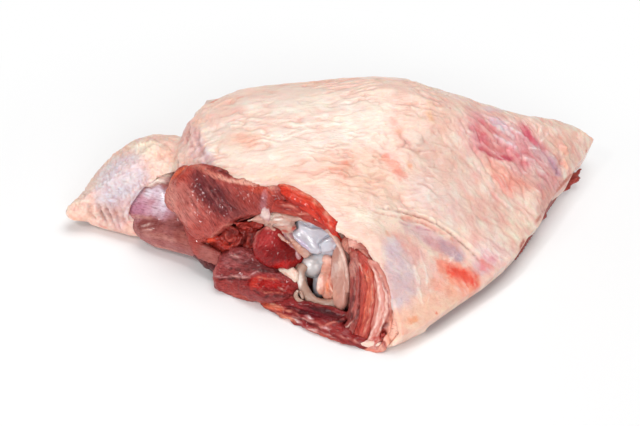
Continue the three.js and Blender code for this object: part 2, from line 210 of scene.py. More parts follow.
def brushed(colours, points, strokes, seed):
    """Colours with brush strokes over them, and how far the strokes move the surface. A stroke is its colour (None for
    none), half width in mm, strength, raggedness, height in mm (negative for a groove) and the points of its line"""
    move = np.zeros(len(points))
    cells = in_space(points) / WOBBLE_CELL
    wobble = np.column_stack([lattice_noise(cells, seed + axis) for axis in range(points.shape[1])]) * WOBBLE
    for number, (colour, width, strength, ragged, height, *line) in enumerate(strokes):
        places = np.array(line, float)
        reach = width * (2.4 + ragged)
        near = (points > places.min(axis=0) - reach) & (points < places.max(axis=0) + reach)
        near = near.all(axis=1).nonzero()[0]
        if not len(near):
            continue
        here = points[near] + (wobble[near] if width < BROAD else 0)
        distance, _, along = from_line(here, places)
        distance /= width
        if ragged:
            cells = in_space(here) / max(1.6, width * 0.55)
            distance += layered_noise(cells, seed + 20 + number) * ragged
            weight = 1 - smooth_step(*SOFT_EDGE, distance)
        else:  # a clean line that presses harder here and there
            beat = np.column_stack([along / 2.4, np.full(len(along), number * 3.7), np.zeros(len(along))])
            weight = np.exp(-(distance**2)) * (0.35 + 0.65 * smooth_step(-0.4, 0.3, lattice_noise(beat, seed + 20)))
        if len(places) > 1 and width < BROAD:
            weight *= 0.25 + 0.75 * smooth_step(0, TAPER, along) * smooth_step(0, TAPER, along.max() - along)
        move[near] += height * weight
        if colour:
            colours[near] += (linear(colour) - colours[near]) * (strength * weight)[:, None]
    return colours, move


def shaded(colours, noise, strength):
    """Colours made darker and redder or paler by noise"""
    return colours * (1 + noise[:, None] * strength * np.array([0.55, 1.0, 0.95]))


def pulled(points, pulls):
    """Points moved like soft clay. A pull is its place, radius and move in mm"""
    for place, radius, move in pulls:
        share = 1 - smooth_step(0, radius, np.linalg.norm(points - place, axis=1))
        points = points + share[:, None] * np.array(move)
    return points


def painted(colours, flat, patches, seed):
    """Colours with soft ragged patches over them, and how far the patches move the surface. A patch is its colour,
    centre, half length and half width in mm, turn in degrees, strength, raggedness and, if it has one, height in mm"""
    move = np.zeros(len(flat))
    for number, (colour, centre, size, turn, strength, ragged, *height) in enumerate(patches):
        angle = math.radians(turn)
        offset = flat - centre
        along = (offset[:, 0] * math.cos(angle) + offset[:, 1] * math.sin(angle)) / size[0]
        across = (offset[:, 1] * math.cos(angle) - offset[:, 0] * math.sin(angle)) / size[1]
        for rise in height:
            move += rise * np.exp(-(along**2) - across**2)
        near = (np.abs(along) < 2.2) & (np.abs(across) < 2.2)
        if not near.any():
            continue
        along, across = along[near], across[near]
        streaks = np.column_stack([along * 2.2, across * 3.4, np.full(len(along), number * 7.3)])
        distance = np.hypot(along, across) + layered_noise(streaks, seed + number) * ragged
        weight = strength * (1 - smooth_step(*SOFT_EDGE, distance))
        colours[near] += (linear(colour) - colours[near]) * weight[:, None]
    return colours, move


def strand(line, depth=1.0):
    """A closed tube through points given as x, y, z and radius in mm; depth is its thickness against its width"""
    outline = bpy.data.curves.new("outline", "CURVE")
    outline.dimensions = "2D"
    ring = outline.splines.new("POLY")
    sides = 12
    ring.points.add(sides - 1)
    for number, point in enumerate(ring.points):
        angle = number / sides * math.tau
        point.co = (math.cos(angle) * MM, math.sin(angle) * depth * MM, 0, 1)
    ring.use_cyclic_u = True
    profile = bpy.data.objects.new("outline", outline)
    curve = bpy.data.curves.new("strand", "CURVE")
    curve.dimensions = "3D"
    curve.twist_mode = "Z_UP"
    curve.bevel_mode = "OBJECT"
    curve.bevel_object = profile
    curve.use_fill_caps = True
    curve.resolution_u = 8
    spline = curve.splines.new("BEZIER")
    spline.bezier_points.add(len(line) - 1)
    for point, (x, y, z, radius) in zip(spline.bezier_points, line):
        point.co = Vector((x, y, z)) * MM
        point.radius = radius
        point.handle_left_type = point.handle_right_type = "AUTO"
    return as_bmesh(bpy.data.objects.new("strand", curve), profile)


def as_bmesh(*objects):
    """The evaluated mesh of the first object as a bmesh; the objects go away"""
    for made in objects:
        bpy.context.scene.collection.objects.link(made)
    depsgraph = bpy.context.evaluated_depsgraph_get()
    mesh = bpy.data.meshes.new_from_object(objects[0].evaluated_get(depsgraph), depsgraph=depsgraph)
    shape = bmesh.new()
    shape.from_mesh(mesh)
    bmesh.ops.remove_doubles(shape, verts=shape.verts, dist=SAME_PLACE)
    bmesh.ops.recalc_face_normals(shape, faces=shape.faces)
    bpy.data.meshes.remove(mesh)
    for made in objects:
        bpy.data.objects.remove(made)
    return shape


def lump(centre, radii, turn=0):
    """A closed egg shape in mm"""
    shape = bmesh.new()
    bmesh.ops.create_icosphere(shape, subdivisions=3, radius=1)
    place = Matrix.Translation(Vector(centre) * MM) @ Matrix.Rotation(math.radians(turn), 4, "Z")
    bmesh.ops.transform(shape, matrix=place @ Matrix.Diagonal((*(Vector(radii) * MM), 1)), verts=shape.verts)
    return shape


def slab(outline, middle, thickness, edge, tilt=(0, 0)):
    """A closed plate in mm: its outline, the height of its middle, its thickness, how round its edge is, and its tilt
    in degrees about X and Y"""
    outline = np.array(outline, float)
    centre = outline.mean(axis=0)
    curve = bpy.data.curves.new("slab", "CURVE")
    curve.dimensions = "2D"
    curve.fill_mode = "BOTH"
    curve.extrude = (thickness / 2 - edge) * MM
    curve.bevel_depth = edge * MM
    curve.bevel_resolution = 3
    curve.offset = -edge * MM
    spline = curve.splines.new("POLY")
    spline.points.add(len(outline) - 1)
    for point, (x, y) in zip(spline.points, (outline - centre) * MM):
        point.co = (x, y, 0, 1)
    spline.use_cyclic_u = True
    shape = as_bmesh(bpy.data.objects.new("slab", curve))
    lean = Matrix.Rotation(math.radians(tilt[0]), 4, "X") @ Matrix.Rotation(math.radians(tilt[1]), 4, "Y")
    place = Matrix.Translation(Vector((*centre, middle)) * MM) @ lean
    bmesh.ops.transform(shape, matrix=place, verts=shape.verts)
    return shape


SHAPES = {"lump": lump, "strand": strand, "slab": slab}


def soft_piece(name, node, grid, grow, added, added_place):
    """One closed mesh in small even faces from a CAD solid and added shapes, which flow into each other. Facets and
    corners are smoothed away, and the surface is moved out by grow mm. An added shape is its kind and values"""
    joined = bmesh.new()
    joined.from_mesh(NODES[node].data)
    bmesh.ops.remove_doubles(joined, verts=joined.verts, dist=SAME_PLACE)
    together = bpy.data.meshes.new(name + "_rough")
    for kind, *values in added:
        shape = SHAPES[kind](*values)
        bmesh.ops.transform(shape, matrix=added_place, verts=shape.verts)
        shape.to_mesh(together)
        shape.free()
        joined.from_mesh(together)
    joined.to_mesh(together)
    joined.free()
    rough = bpy.data.objects.new(name + "_rough", together)
    bpy.context.scene.collection.objects.link(rough)
    remesh = rough.modifiers.new("Remesh", "REMESH")
    remesh.mode = "VOXEL"
    remesh.voxel_size = grid * MM
    remesh.use_smooth_shade = True
    smooth = rough.modifiers.new("Smooth", "SMOOTH")
    smooth.factor = 0.5
    smooth.iterations = SMOOTHING
    depsgraph = bpy.context.evaluated_depsgraph_get()
    fine = bpy.data.meshes.new_from_object(rough.evaluated_get(depsgraph), depsgraph=depsgraph)
    bpy.data.objects.remove(rough)
    fine.name = name
    piece = bpy.data.objects.new(name, fine)
    bpy.context.scene.collection.objects.link(piece)
    if grow:
        place_points(fine, points_of(fine) + normals_of(fine) * grow)
    return piece


def hand_in(piece, slot, material, *nodes):
    """Gives a finished piece its material, smooth shading and body, and hides the CAD nodes that it stands for"""
    piece.data.materials.clear()
    piece.data.materials.append(material)
    for face in piece.data.polygons:
        face.use_smooth = True
    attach(piece, "root")
    if nodes:
        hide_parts(*nodes)


# ---------------------------------------------------------------- materials


def add(tree, kind, inputs=(), **settings):
    """Adds a shader node. Settings are its properties; inputs are values, or the sockets or nodes that feed it"""
    made = tree.nodes.new("ShaderNode" + kind)
    for name, value in settings.items():
        setattr(made, name, value)
    for name, value in dict(inputs).items():
        if isinstance(value, bpy.types.Node):
            value = value.outputs[0]
        if isinstance(value, bpy.types.NodeSocket):
            tree.links.new(value, made.inputs[name])
        else:
            made.inputs[name].default_value = value
    return made


def rgba(hex_colour):
    return (*linear(hex_colour), 1.0)


def new_material(name):
    material = bpy.data.materials.new(name)
    material.use_nodes = True
    material.node_tree.nodes.clear()
    return material, material.node_tree


def piece_material(name):
    """A new material, and what it reads: the place, and the colour and grain direction of the vertices"""
    material, tree = new_material(name)
    place = add(tree, "TexCoord").outputs["Object"]
    tint = add(tree, "Attribute", attribute_name="Tint").outputs["Color"]
    grain = add(tree, "Attribute", attribute_name="Grain").outputs["Vector"]
    return material, tree, place, tint, grain


# In an RGBA Mix node, the sockets of the factor and of its two colours, and the one that it gives.
SHARE, FIRST, SECOND, MIXED = 0, 6, 7, 2


def raw_skin_material():
    """Raw poultry skin: thin, moist and see-through, so light goes into it and comes out warm. Follicle bumps
    stand about 2.4 mm apart, fine creases run across the thigh with a little painted shade in their valleys, and a
    film of moisture gives small glints"""
    material, tree, place, tint, grain = piece_material("Raw poultry skin")
    mottle = add(tree, "TexNoise", {"Vector": place, "Scale": 1 / (14 * MM), "Detail": 2.0, "Roughness": 0.6})
    mottle_share = add(tree, "MapRange", {"Value": mottle, "From Min": 0.5, "From Max": 0.72, "To Max": 0.3})
    warm = add(tree, "Mix", {SHARE: mottle_share, FIRST: tint, SECOND: rgba("#F0AE98")}, data_type="RGBA")
    cream = add(
        tree, "TexNoise", {"Vector": place, "Scale": 1 / (9 * MM), "Detail": 3.0, "Roughness": 0.55, "Distortion": 0.6}
    )
    cream_share = add(tree, "MapRange", {"Value": cream, "From Min": 0.52, "From Max": 0.75, "To Max": 0.3})
    pale = add(tree, "Mix", {SHARE: cream_share, FIRST: warm.outputs[MIXED], SECOND: rgba("#F8E2CF")}, data_type="RGBA")
    # Creases: long along the grain, about 2 mm apart across it, with painted shade in their valleys.
    long_grain = add(tree, "VectorMath", {0: grain, 1: (1 / 11, 1 / 1.9, 1 / 1.9)}, operation="MULTIPLY")
    lines = add(
        tree, "TexNoise", {"Vector": long_grain, "Scale": 1.0, "Detail": 2.5, "Roughness": 0.55, "Distortion": 0.35}
    )
    ridge = add(tree, "Math", {0: lines, 1: 0.5}, operation="SUBTRACT")
    ridge_size = add(tree, "Math", {0: ridge}, operation="ABSOLUTE")
    valley = add(
        tree, "MapRange", {"Value": ridge_size, "From Min": 0.0, "From Max": 0.055, "To Min": 1.0, "To Max": 0.0}
    )
    # Painted shade: the skin colour darkened in the creases' valleys.
    crease_shade = add(
        tree, "Mix",
        {SHARE: 1.0, FIRST: pale.outputs[MIXED], SECOND: rgba("#E9B4A2")},
        data_type="RGBA", blend_type="MULTIPLY",
    )
    crease_shade_share = add(tree, "Math", {0: valley, 1: 0.12}, operation="MULTIPLY")
    crease_shaded = add(
        tree, "Mix",
        {SHARE: crease_shade_share, FIRST: pale.outputs[MIXED], SECOND: crease_shade.outputs[MIXED]},
        data_type="RGBA",
    )
    # Follicles, and the finer pebbling between them.
    follicles = add(
        tree, "TexVoronoi", {"Vector": place, "Scale": 1 / (2.4 * MM), "Randomness": 0.9}, feature="SMOOTH_F1"
    )
    pebbles = add(tree, "TexNoise", {"Vector": place, "Scale": 1 / (1.1 * MM), "Detail": 2.0})
    fine = add(tree, "Math", {0: pebbles, 1: 0.6, 2: follicles.outputs["Distance"]}, operation="MULTIPLY_ADD")
    height = add(tree, "Math", {0: valley, 1: -0.45, 2: fine}, operation="MULTIPLY_ADD")
    bump = add(tree, "Bump", {"Height": height, "Strength": 0.45, "Distance": 0.0006})
    wet = add(tree, "TexNoise", {"Vector": place, "Scale": 1 / (20 * MM), "Detail": 3.0})
    roughness = add(tree, "MapRange", {"Value": wet, "From Min": 0.35, "From Max": 0.65, "To Min": 0.3, "To Max": 0.46})
    shader = add(
        tree, "BsdfPrincipled",
        {
            "Base Color": crease_shaded.outputs[MIXED],
            "Roughness": roughness,
            "Normal": bump,
            "IOR": 1.42,
            "Subsurface Weight": 0.35,
            "Subsurface Radius": (1.0, 0.42, 0.25),
            "Subsurface Scale": 0.004,
            "Coat Weight": 0.3,
            "Coat Roughness": 0.14,
        },
    )
    add(tree, "OutputMaterial", {"Surface": shader})
    return material


def muscle_material(name, fibre_width, fibre_length, contrast, fibre_shine, relief):
    """Wet muscle: fine fibres seen as darker and paler streaks along the grain, stippled where they are cut across,
    under a film of juice that glints on every small bump. The fibres' width and length and the relief are in mm"""
    material, tree, place, tint, grain = piece_material(name)
    scaled = add(
        tree, "VectorMath", {0: grain, 1: (1 / fibre_length, 1 / fibre_width, 1 / fibre_width)}, operation="MULTIPLY"
    )
    fibres = add(tree, "TexNoise", {"Vector": scaled, "Scale": 1.0, "Detail": 3.0, "Roughness": 0.6, "Distortion": 0.5})
    blotch = add(tree, "TexNoise", {"Vector": place, "Scale": 1 / (5 * MM), "Detail": 3.0})
    dark_share = add(tree, "MapRange", {"Value": fibres, "From Min": 0.5, "From Max": 0.3, "To Max": contrast})
    dark = add(
        tree, "Mix", {SHARE: dark_share, FIRST: tint, SECOND: rgba("#7E3030")}, data_type="RGBA", blend_type="MULTIPLY"
    )
    pale_share = add(tree, "MapRange", {"Value": fibres, "From Min": 0.56, "From Max": 0.78, "To Max": contrast * 0.3})
    pale = add(tree, "Mix", {SHARE: pale_share, FIRST: dark.outputs[MIXED], SECOND: rgba("#EDAA9C")}, data_type="RGBA")
    blotch_share = add(tree, "MapRange", {"Value": blotch, "From Min": 0.45, "From Max": 0.7, "To Max": 0.4})
    colour = add(
        tree, "Mix",
        {SHARE: blotch_share, FIRST: pale.outputs[MIXED], SECOND: rgba("#C98078")},
        data_type="RGBA", blend_type="MULTIPLY",
    )
    stipple = add(tree, "TexNoise", {"Vector": place, "Scale": 1 / (1.2 * MM), "Detail": 2.0})
    height = add(tree, "Math", {0: stipple, 1: 0.8, 2: fibres}, operation="MULTIPLY_ADD")
    bump = add(tree, "Bump", {"Height": height, "Strength": 0.9, "Distance": relief * MM})
    roughness = add(
        tree, "MapRange",
        {"Value": blotch, "From Min": 0.35, "From Max": 0.65, "To Min": fibre_shine, "To Max": fibre_shine + 0.15},
    )
    shader = add(
        tree, "BsdfPrincipled",
        {
            "Base Color": colour.outputs[MIXED],
            "Roughness": roughness,
            "Normal": bump,
            "IOR": 1.38,
            "Specular IOR Level": 0.3,
            "Subsurface Weight": 0.15,
            "Subsurface Radius": (1.0, 0.2, 0.12),
            "Subsurface Scale": 0.0015,
            "Coat Weight": 0.45,
            "Coat Roughness": 0.07,
            "Coat IOR": 1.4,
        },
    )
    add(tree, "OutputMaterial", {"Surface": shader})
    return material


def pale_tissue_material(name, warm, contrast, shine, relief, scatter, patch=3):
    """Fat, fascia, tendon, cartilage and bone: pale, dense and moist, with a little warmer, redder colour on its raised
    lumps. Its relief, how far light goes into it and the width of its patches are in mm"""
    material, tree, place, tint, _ = piece_material(name)
    lumps = add(tree, "TexNoise", {"Vector": place, "Scale": 1 / (patch * MM), "Detail": 4.0, "Roughness": 0.6})
    share = add(tree, "MapRange", {"Value": lumps, "From Min": 0.48, "From Max": 0.72, "To Max": contrast})
    colour = add(tree, "Mix", {SHARE: share, FIRST: tint, SECOND: rgba(warm)}, data_type="RGBA")
    bump = add(tree, "Bump", {"Height": lumps, "Strength": 0.7, "Distance": relief * MM})
    shader = add(
        tree, "BsdfPrincipled",
        {
            "Base Color": colour.outputs[MIXED],
            "Roughness": shine,
            "Normal": bump,
            "IOR": 1.45,
            "Subsurface Weight": 0.4,
            "Subsurface Radius": (1.0, 0.6, 0.5),
            "Subsurface Scale": scatter * MM,
            "Coat Weight": 0.4,
            "Coat Roughness": 0.1,
        },
    )
    add(tree, "OutputMaterial", {"Surface": shader})
    return material


# ---------------------------------------------------------------- the skin

SKIN_BASE = "#F6D2C2"
# Brush strokes on the skin, in mm: broad tones first, then blood and fat, then folds and thin creases. In the
# folds and creases the darker grooves are painted shade, and the pale ridges and thin near-white lines painted
# highlights.
SKIN_STROKES = (
    # Broad tones.
    ("#FCE8DB", 30, 0.8, 0.3, 0, (-45.5, 18, 54.5), (-4, 22, 58)),
    ("#F8CDB8", 9, 0.7, 0.5, 0, (-49, 11, 53.5), (-43.5, 8.5, 54)),
    ("#F6C3B4", 7, 0.6, 0.5, 0, (-60.5, 35, 50.5), (-50, 34.5, 53.5)),
    ("#F9D2BD", 7, 0.7, 0.4, 0, (-30.5, -15.5, 52), (-13.5, -19, 51.5)),
    ("#EBCDC1", 14, 0.8, 0.3, 0, (44, 10.5, 48.5), (51.5, -1.5, 39), (58, -9.5, 31.5)),
    ("#E9D0C9", 10, 0.7, 0.3, 0, (40.5, -12.5, 39), (51, -16.5, 32)),
    ("#F6D0BA", 12, 0.6, 0.5, 0, (5, -21.5, 49), (18, -18, 46.5)),
    ("#FCE3D1", 7, 0.8, 0.3, 0, (13, -38.5, 44), (25, -33.5, 39.5), (34.5, -31, 33.5)),
    ("#DDBBBE", 5, 0.8, 0.4, 0, (32.5, -32.5, 34.5), (41.5, -32, 28.5), (46, -32.5, 26)),
    ("#DAC5CE", 9, 0.9, 0.3, 0, (26.5, -50.5, 34.5), (28.5, -59.5, 28), (27.5, -67, 22.5)),
    ("#F4CCC0", 8, 0.7, 0.4, 0, (40.5, -51, 23.5), (44, -56.5, 17.5)),
    ("#F8C4AC", 9, 0.9, 0.4, 0, (28.5, -76.5, 13.5), (37, -69.5, 13.5), (48, -60, 12.5), (56, -51.5, 12.5)),
    ("#FBD2BC", 5, 0.8, 0.3, 0, (26.5, -78.5, 9.5), (33.5, -74, 11.5)),
    ("#B9A9BB", 4, 0.9, 0.4, 0, (49.5, -33.5, 24), (56, -35.5, 20)),
    ("#DDAEB8", 4, 0.7, 0.5, 0, (65.5, -38, 14), (70.5, -34, 14)),
    ("#E8C1C0", 9, 0.8, 0.4, 0, (75, -25, 16), (69, -31, 16)),
    ("#EDCDC1", 20, 0.8, 0.3, 0, (58, 3.5, 38), (71.5, -14, 22.5)),
    ("#F5D7C3", 8, 0.8, 0.3, 0, (82.5, -13, 17), (89.5, -5.5, 16), (91, -10, 12.5)),
    ("#DFA49C", 14, 0.9, 0.4, 0, (102, 32, 24.5), (106.5, 23, 17.5)),
    ("#E49AA0", 16, 0.85, 0.5, 0, (74, 30.5, 42), (92.5, 34, 32)),
    ("#F5AB9A", 7, 0.8, 0.4, 0, (79.5, 12, 29.5), (84, 11, 26.5)),
    ("#DFC9D3", 6, 0.9, 0.4, 0, (79.5, 39.5, 42.5), (84, 34.5, 37.5)),
    ("#DDC5CC", 5, 0.8, 0.4, 0, (101, 37, 28), (106.5, 36, 23.5)),
    ("#EED6CF", 5, 0.7, 0.4, 0, (98.5, 24.5, 24), (103, 21, 19)),
    ("#F2CDBA", 5, 0.7, 0.3, 0, (98.5, 61.5, 32), (118, 58, 27), (127, 59.5, 20.5)),
    ("#E4CACD", 3.5, 0.7, 0.4, 0, (75.5, 51.5, 43), (89, 61.5, 34.5)),
    # The folded lobe. The darker grooves of the folds at the thigh's upper left are painted shade, and the pale line
    # between them a painted highlight.
    ("#DACFD8", 14, 0.95, 0.3, 0, (-110.5, 19, 27.5), (-104.5, 9, 22), (-110.5, 9, 17)),
    ("#CBBDCB", 7, 0.7, 0.4, 0, (-102, 20.5, 33), (-96.5, 13, 30.5), (-107, 8.5, 19.5)),
    ("#F8E1CE", 5, 0.9, 0.4, 0, (-99, 30.5, 35), (-90.5, 24, 37.5), (-82.5, 17, 35.5)),
    ("#F5C8B2", 5, 0.8, 0.5, 0, (-83.5, 21, 37.5), (-80, 16.5, 35)),
    ("#F5D6C9", 6, 0.8, 0.3, 0, (-117.5, 18.5, 22.5), (-122.5, 16.5, 18.5)),
    ("#FCD6C2", 7, 0.95, 0.3, 0, (-130, 10.5, 12), (-125.5, 9, 12)),
    ("#F8A17E", 3.2, 0.9, 0.5, 0, (-127.5, 10, 13), (-125.5, 8, 8.5), (-128.5, 9, 7.5)),
    ("#FDDFCB", 2.5, 0.8, 0.3, 0.5, (-125, 10, 13), (-122.5, 8.5, 10)),
    ("#EBA9A4", 3, 0.7, 0.5, 0, (-123.5, 12, 17), (-121, 10.5, 15)),
    ("#D9B0A4", 7, 0.85, 0.4, 0, (-115, 9, 9), (-108, 6.5, 6), (-102, 4, 6)),
    ("#E0C3C9", 4, 0.7, 0.4, 0, (-111.5, 7, 12), (-106, 4, 9.5)),
    ("#EDD5CE", 3, 0.8, 0.3, 0, (-106.5, 6.5, 4)),
    ("#DDCBD3", 5, 0.9, 0.4, 0, (-74, 37, 41), (-68.5, 16.5, 46.5), (-62.5, 1, 48)),
    ("#F0C8C2", 4, 0.8, 0.5, 0, (-72.5, 48, 39.5), (-75, 36.5, 40)),
    ("#D9B0AC", 5, 0.7, 0.6, 0, (-75, 32, 40), (-69, 12, 46), (-61, -2, 47.5)),
    ("#C98F8C", 1.6, 0.6, 0.6, -0.5, (-73, 40, 41.5), (-72, 28, 44), (-69, 18, 46)),
    ("#C98F8C", 1.4, 0.6, 0.6, -0.5, (-68, 30, 46), (-67, 16, 47.5), (-63, 6, 48)),
    ("#F3DCD8", 1.2, 0.7, 0.5, 0.6, (-71, 34, 44), (-70, 22, 46), (-66, 11, 47.5)),
    ("#DDA9A8", 7, 0.7, 0.5, 0, (99, 36, 29), (104, 30, 24), (106, 22, 18)),
    # Blood streaks and spots.
    ("#DB4A60", 1.2, 0.8, 0.6, -0.3, (65, 32, 48), (70, 30, 44.5), (75.5, 31.5, 41.5)),
    ("#DA5468", 1, 0.8, 0.6, -0.2, (71, 38, 46.5), (74, 34, 43.5), (79, 34, 40.5)),
    ("#D64A60", 1.6, 0.85, 0.6, -0.3, (73.5, 22.5, 38), (79, 22.5, 35), (84, 24, 32.5), (90, 27.5, 30.5)),
    ("#DA5468", 1.6, 0.8, 0.7, -0.2, (87, 29.5, 33.5), (92, 27, 29), (96, 26, 26)),
    ("#D24E66", 1.8, 0.8, 0.7, -0.2, (94, 48, 36.5), (96, 43, 34.5), (97.5, 39.5, 32)),
    ("#E5868F", 2.8, 0.7, 0.7, 0, (67.5, 29.5, 45.5), (76, 24.5, 37.5)),
    ("#E78F92", 2.6, 0.7, 0.7, 0, (82, 31, 37), (88, 30, 33)),
    ("#F29286", 4, 0.7, 0.6, 0, (78, 13, 31), (83.5, 9.5, 26.5)),
    ("#DA5F6B", 1.4, 0.7, 0.6, -0.2, (91, 26.5, 29.5), (93.5, 23, 26.5)),
    ("#F2907A", 3.4, 0.7, 0.9, 0, (23, -0.5, 50.5), (30, -6.5, 46)),
    ("#F0745A", 2.4, 0.8, 0.8, 0, (1, -7.5, 53), (6.5, -7, 52.5)),
    ("#F0806A", 2.2, 0.8, 0.8, 0, (1, -14.5, 51), (6, -14.5, 50.5)),
    ("#F08E52", 1.2, 0.9, 0.5, -0.3, (33.5, 0, 48), (35, -2.5, 46)),
    ("#84503F", 0.5, 0.8, 0.3, -0.3, (33.5, -4.5, 45.5), (34, -5, 45)),
    ("#F29380", 2.6, 0.5, 0.8, 0, (24, 19, 58.5), (29.5, 20, 58)),
    ("#F5A88C", 2.2, 0.6, 0.8, 0, (26.5, 14, 55.5), (32, 15, 55)),
    ("#FACB9F", 2.2, 0.95, 0.3, 1.2, (44, 35.5, 58.5), (45, 34, 58)),
    ("#FAD3AE", 2, 0.8, 0.4, 0.6, (44.5, 30, 56.5), (45.5, 23, 55)),
    ("#E5606A", 0.6, 0.8, 0.3, 0, (55.5, 37, 54)),
    ("#F58A70", 7.2, 0.8, 0.6, 0, (49, -44, 19.5), (55, -45, 16.5), (62, -46, 12.5)),
    ("#F04A34", 3.4, 0.9, 0.8, 0, (52, -44.5, 18.5), (58.5, -44.5, 15.5), (62, -45, 12.5)),
    ("#F5856E", 2, 0.8, 0.6, 0, (48.5, -42.5, 21), (51.5, -43.5, 19)),
    ("#C02048", 0.9, 0.95, 0.3, 0, (72.5, -30, 15)),
    ("#E49DAA", 3, 0.7, 0.6, 0, (70, -30, 16), (73, -30, 14.5)),
    ("#DA6C7C", 1, 0.7, 0.6, 0, (41.5, -33, 28.5), (43, -35.5, 27)),
    ("#EE7A58", 1.3, 0.85, 0.6, -0.2, (25.5, -41, 37.5), (27.5, -42.5, 36)),
    ("#F39F80", 2.2, 0.6, 0.7, 0, (20.5, -44, 40), (24.5, -42, 38)),
    ("#E98E7E", 1.1, 0.6, 0.8, 0, (28, -44.5, 35.5), (34, -44, 31)),
    ("#F29566", 1.8, 0.7, 0.7, 0, (30.5, -74.5, 14), (37, -70.5, 12)),
    ("#E85A40", 0.7, 0.8, 0.3, 0, (45, -65, 10.5)),
    ("#F2A491", 2.2, 0.6, 0.7, 0, (43, -52, 21.5), (45, -54, 18.5)),
    ("#E9858F", 2.4, 0.6, 0.6, 0, (65.5, -35.5, 15), (70.5, -36.5, 13)),
    ("#F29B86", 2.2, 0.6, 0.9, 0, (-4.5, -14.5, 52), (0.5, -10, 52.5), (2.5, -15.5, 51)),
    ("#F7B49C", 4, 0.5, 0.9, 0, (-45, 11.5, 54), (-40, 8, 54.5)),
    ("#F3A794", 1.6, 0.7, 0.6, 0, (-50.5, 49, 52), (-45, 48, 53.5)),
    ("#E58C7C", 0.8, 0.8, 0.5, 0, (-67, 55, 42.5), (-62, 55.5, 46), (-57.5, 58.5, 46), (-53.5, 55.5, 49)),
    # Folds: the crease, and the roll beside it. Their darker grooves are painted shade, and their pale ridges and thin
    # near-white lines painted highlights; the cream ridges at the right end and on the lobe's top are fat.
    ("#F3D3C4", 2.4, 0.6, 0.3, 0, (26.5, -24.5, 40.5), (38.5, -22, 35), (48, -23, 30), (56.5, -25.5, 24.5)),
    ("#A2604F", 0.6, 0.8, 0, -1.1, (19.5, -29, 43), (28.5, -26, 38.5), (38, -24, 34), (45, -24, 30.5),
     (51, -25.5, 27), (57, -28, 23), (63, -31, 18.5), (66.5, -34.5, 15.5)),
    ("#FBE2D0", 0.8, 0.8, 0, 1, (20, -27.5, 43), (29.5, -24.5, 38.5), (38.5, -22.5, 34.5), (45.5, -23, 31),
     (52, -24.5, 27.5), (58.5, -26.5, 23), (64, -29.5, 19), (67.5, -33, 15.5)),
    ("#F7DCCF", 0.6, 0.6, 0, 0.6, (28, -22, 40), (37.5, -20, 36.5), (46, -20, 32.5), (53.5, -21.5, 28)),
    ("#B98374", 0.4, 0.5, 0, -0.5, (39.5, -14, 39), (44, -17.5, 35), (48, -21, 31)),
    ("#E9857C", 1.6, 0.7, 0.5, 0, (65.5, -33, 16.5), (70.5, -35, 13.5), (74.5, -35, 11)),
    ("#D98C7C", 0.6, 0.7, 0, -0.8, (14.5, -31, 45), (17.5, -32.5, 43.5), (25, -31, 40), (32.5, -27.5, 35.5),
     (38.5, -26, 33), (43, -27, 30.5), (47.5, -27.5, 28), (52, -28.5, 24.5), (56, -28.5, 23)),
    ("#FCE6D6", 0.8, 0.6, 0, 0.7, (14.5, -29.5, 45), (17.5, -31, 44), (25, -29.5, 40), (32.5, -26, 36),
     (39, -24.5, 33), (43.5, -25.5, 31), (48, -26, 28.5), (52.5, -27.5, 25.5)),
    ("#C56684", 0.6, 0.6, 0, -0.5, (27, -33, 38), (32.5, -31, 35), (38.5, -29, 31.5), (44.5, -28.5, 29)),
    ("#F5DBD2", 0.5, 0.6, 0, 0.3, (27.5, -31.5, 38), (33, -29.5, 35), (39, -28, 31.5)),
    ("#FFF4EA", 0.4, 0.7, 0, 0.3, (35.5, -55.5, 25), (36, -59.5, 22), (36, -63, 19.5), (38.5, -65.5, 15.5)),
    ("#FFF4EA", 0.4, 0.6, 0, 0.3, (28.5, -50, 33), (31.5, -53, 29.5), (34.5, -56, 25.5)),
    ("#FFF4EA", 0.35, 0.6, 0, 0.3, (52, -32.5, 23), (55, -36, 20.5), (58, -36, 18.5)),
    ("#FFF2E6", 0.45, 0.8, 0, 0.4, (35.5, 4, 49), (39, 2, 46.5), (43.5, 1, 43.5), (47.5, -2, 41)),
    ("#FFF2E6", 0.4, 0.6, 0, 0.3, (37, 5, 49), (39.5, 3.5, 47), (43, 1.5, 44)),
    ("#FFF2E6", 0.4, 0.7, 0, 0.3, (38, -2.5, 44.5), (43.5, -4.5, 41.5), (47.5, -4, 40)),
    ("#C9A79A", 0.5, 0.5, 0, -0.5, (36.5, 3.5, 48.5), (40.5, 1, 45.5), (44.5, -1, 42.5)),
    ("#8E6A5C", 0.4, 0.6, 0, -0.3, (16.5, -24, 45.5), (18, -24, 44.5)),
    ("#8E6A5C", 0.4, 0.5, 0, -0.3, (17, -21.5, 45.5), (20, -18.5, 45.5)),
    ("#C29A90", 0.6, 0.5, 0, -0.6, (29.5, 14.5, 55), (33, 10.5, 52.5), (30.5, 6, 51.5)),
    ("#C29A90", 0.6, 0.4, 0, -0.6, (33, 10.5, 52.5), (37, 9, 51), (42.5, 12, 50)),
    ("#FDE9DC", 1.1, 0.3, 0, 0.35, (68, 13.5, 37), (72.5, 7, 31.5), (76.5, 2.5, 27), (82.5, 0, 22.5), (90, -1, 18),
     (95.5, -2.5, 13.5)),
    (None, 1, 0, 0, -0.7, (70, 16.5, 37.5), (75, 9.5, 31.5), (78.5, 6, 27.5), (84, 4, 23.5), (91.5, 3, 19),
     (97, 1.5, 14)),
    ("#E7A09A", 0.6, 0.5, 0, -0.4, (73, 17, 35.5), (81, 14.5, 30), (91, 13.5, 23.5), (97.5, 12.5, 19.5)),
    ("#FFEEE6", 0.5, 0.6, 0, 0.4, (75.5, 18, 35), (83.5, 16.5, 29), (94.5, 16, 22.5), (101, 14.5, 18)),
    ("#FFEEE6", 0.5, 0.6, 0, 0.4, (87.5, 22.5, 29.5), (94.5, 21, 24.5), (99.5, 21.5, 21.5)),
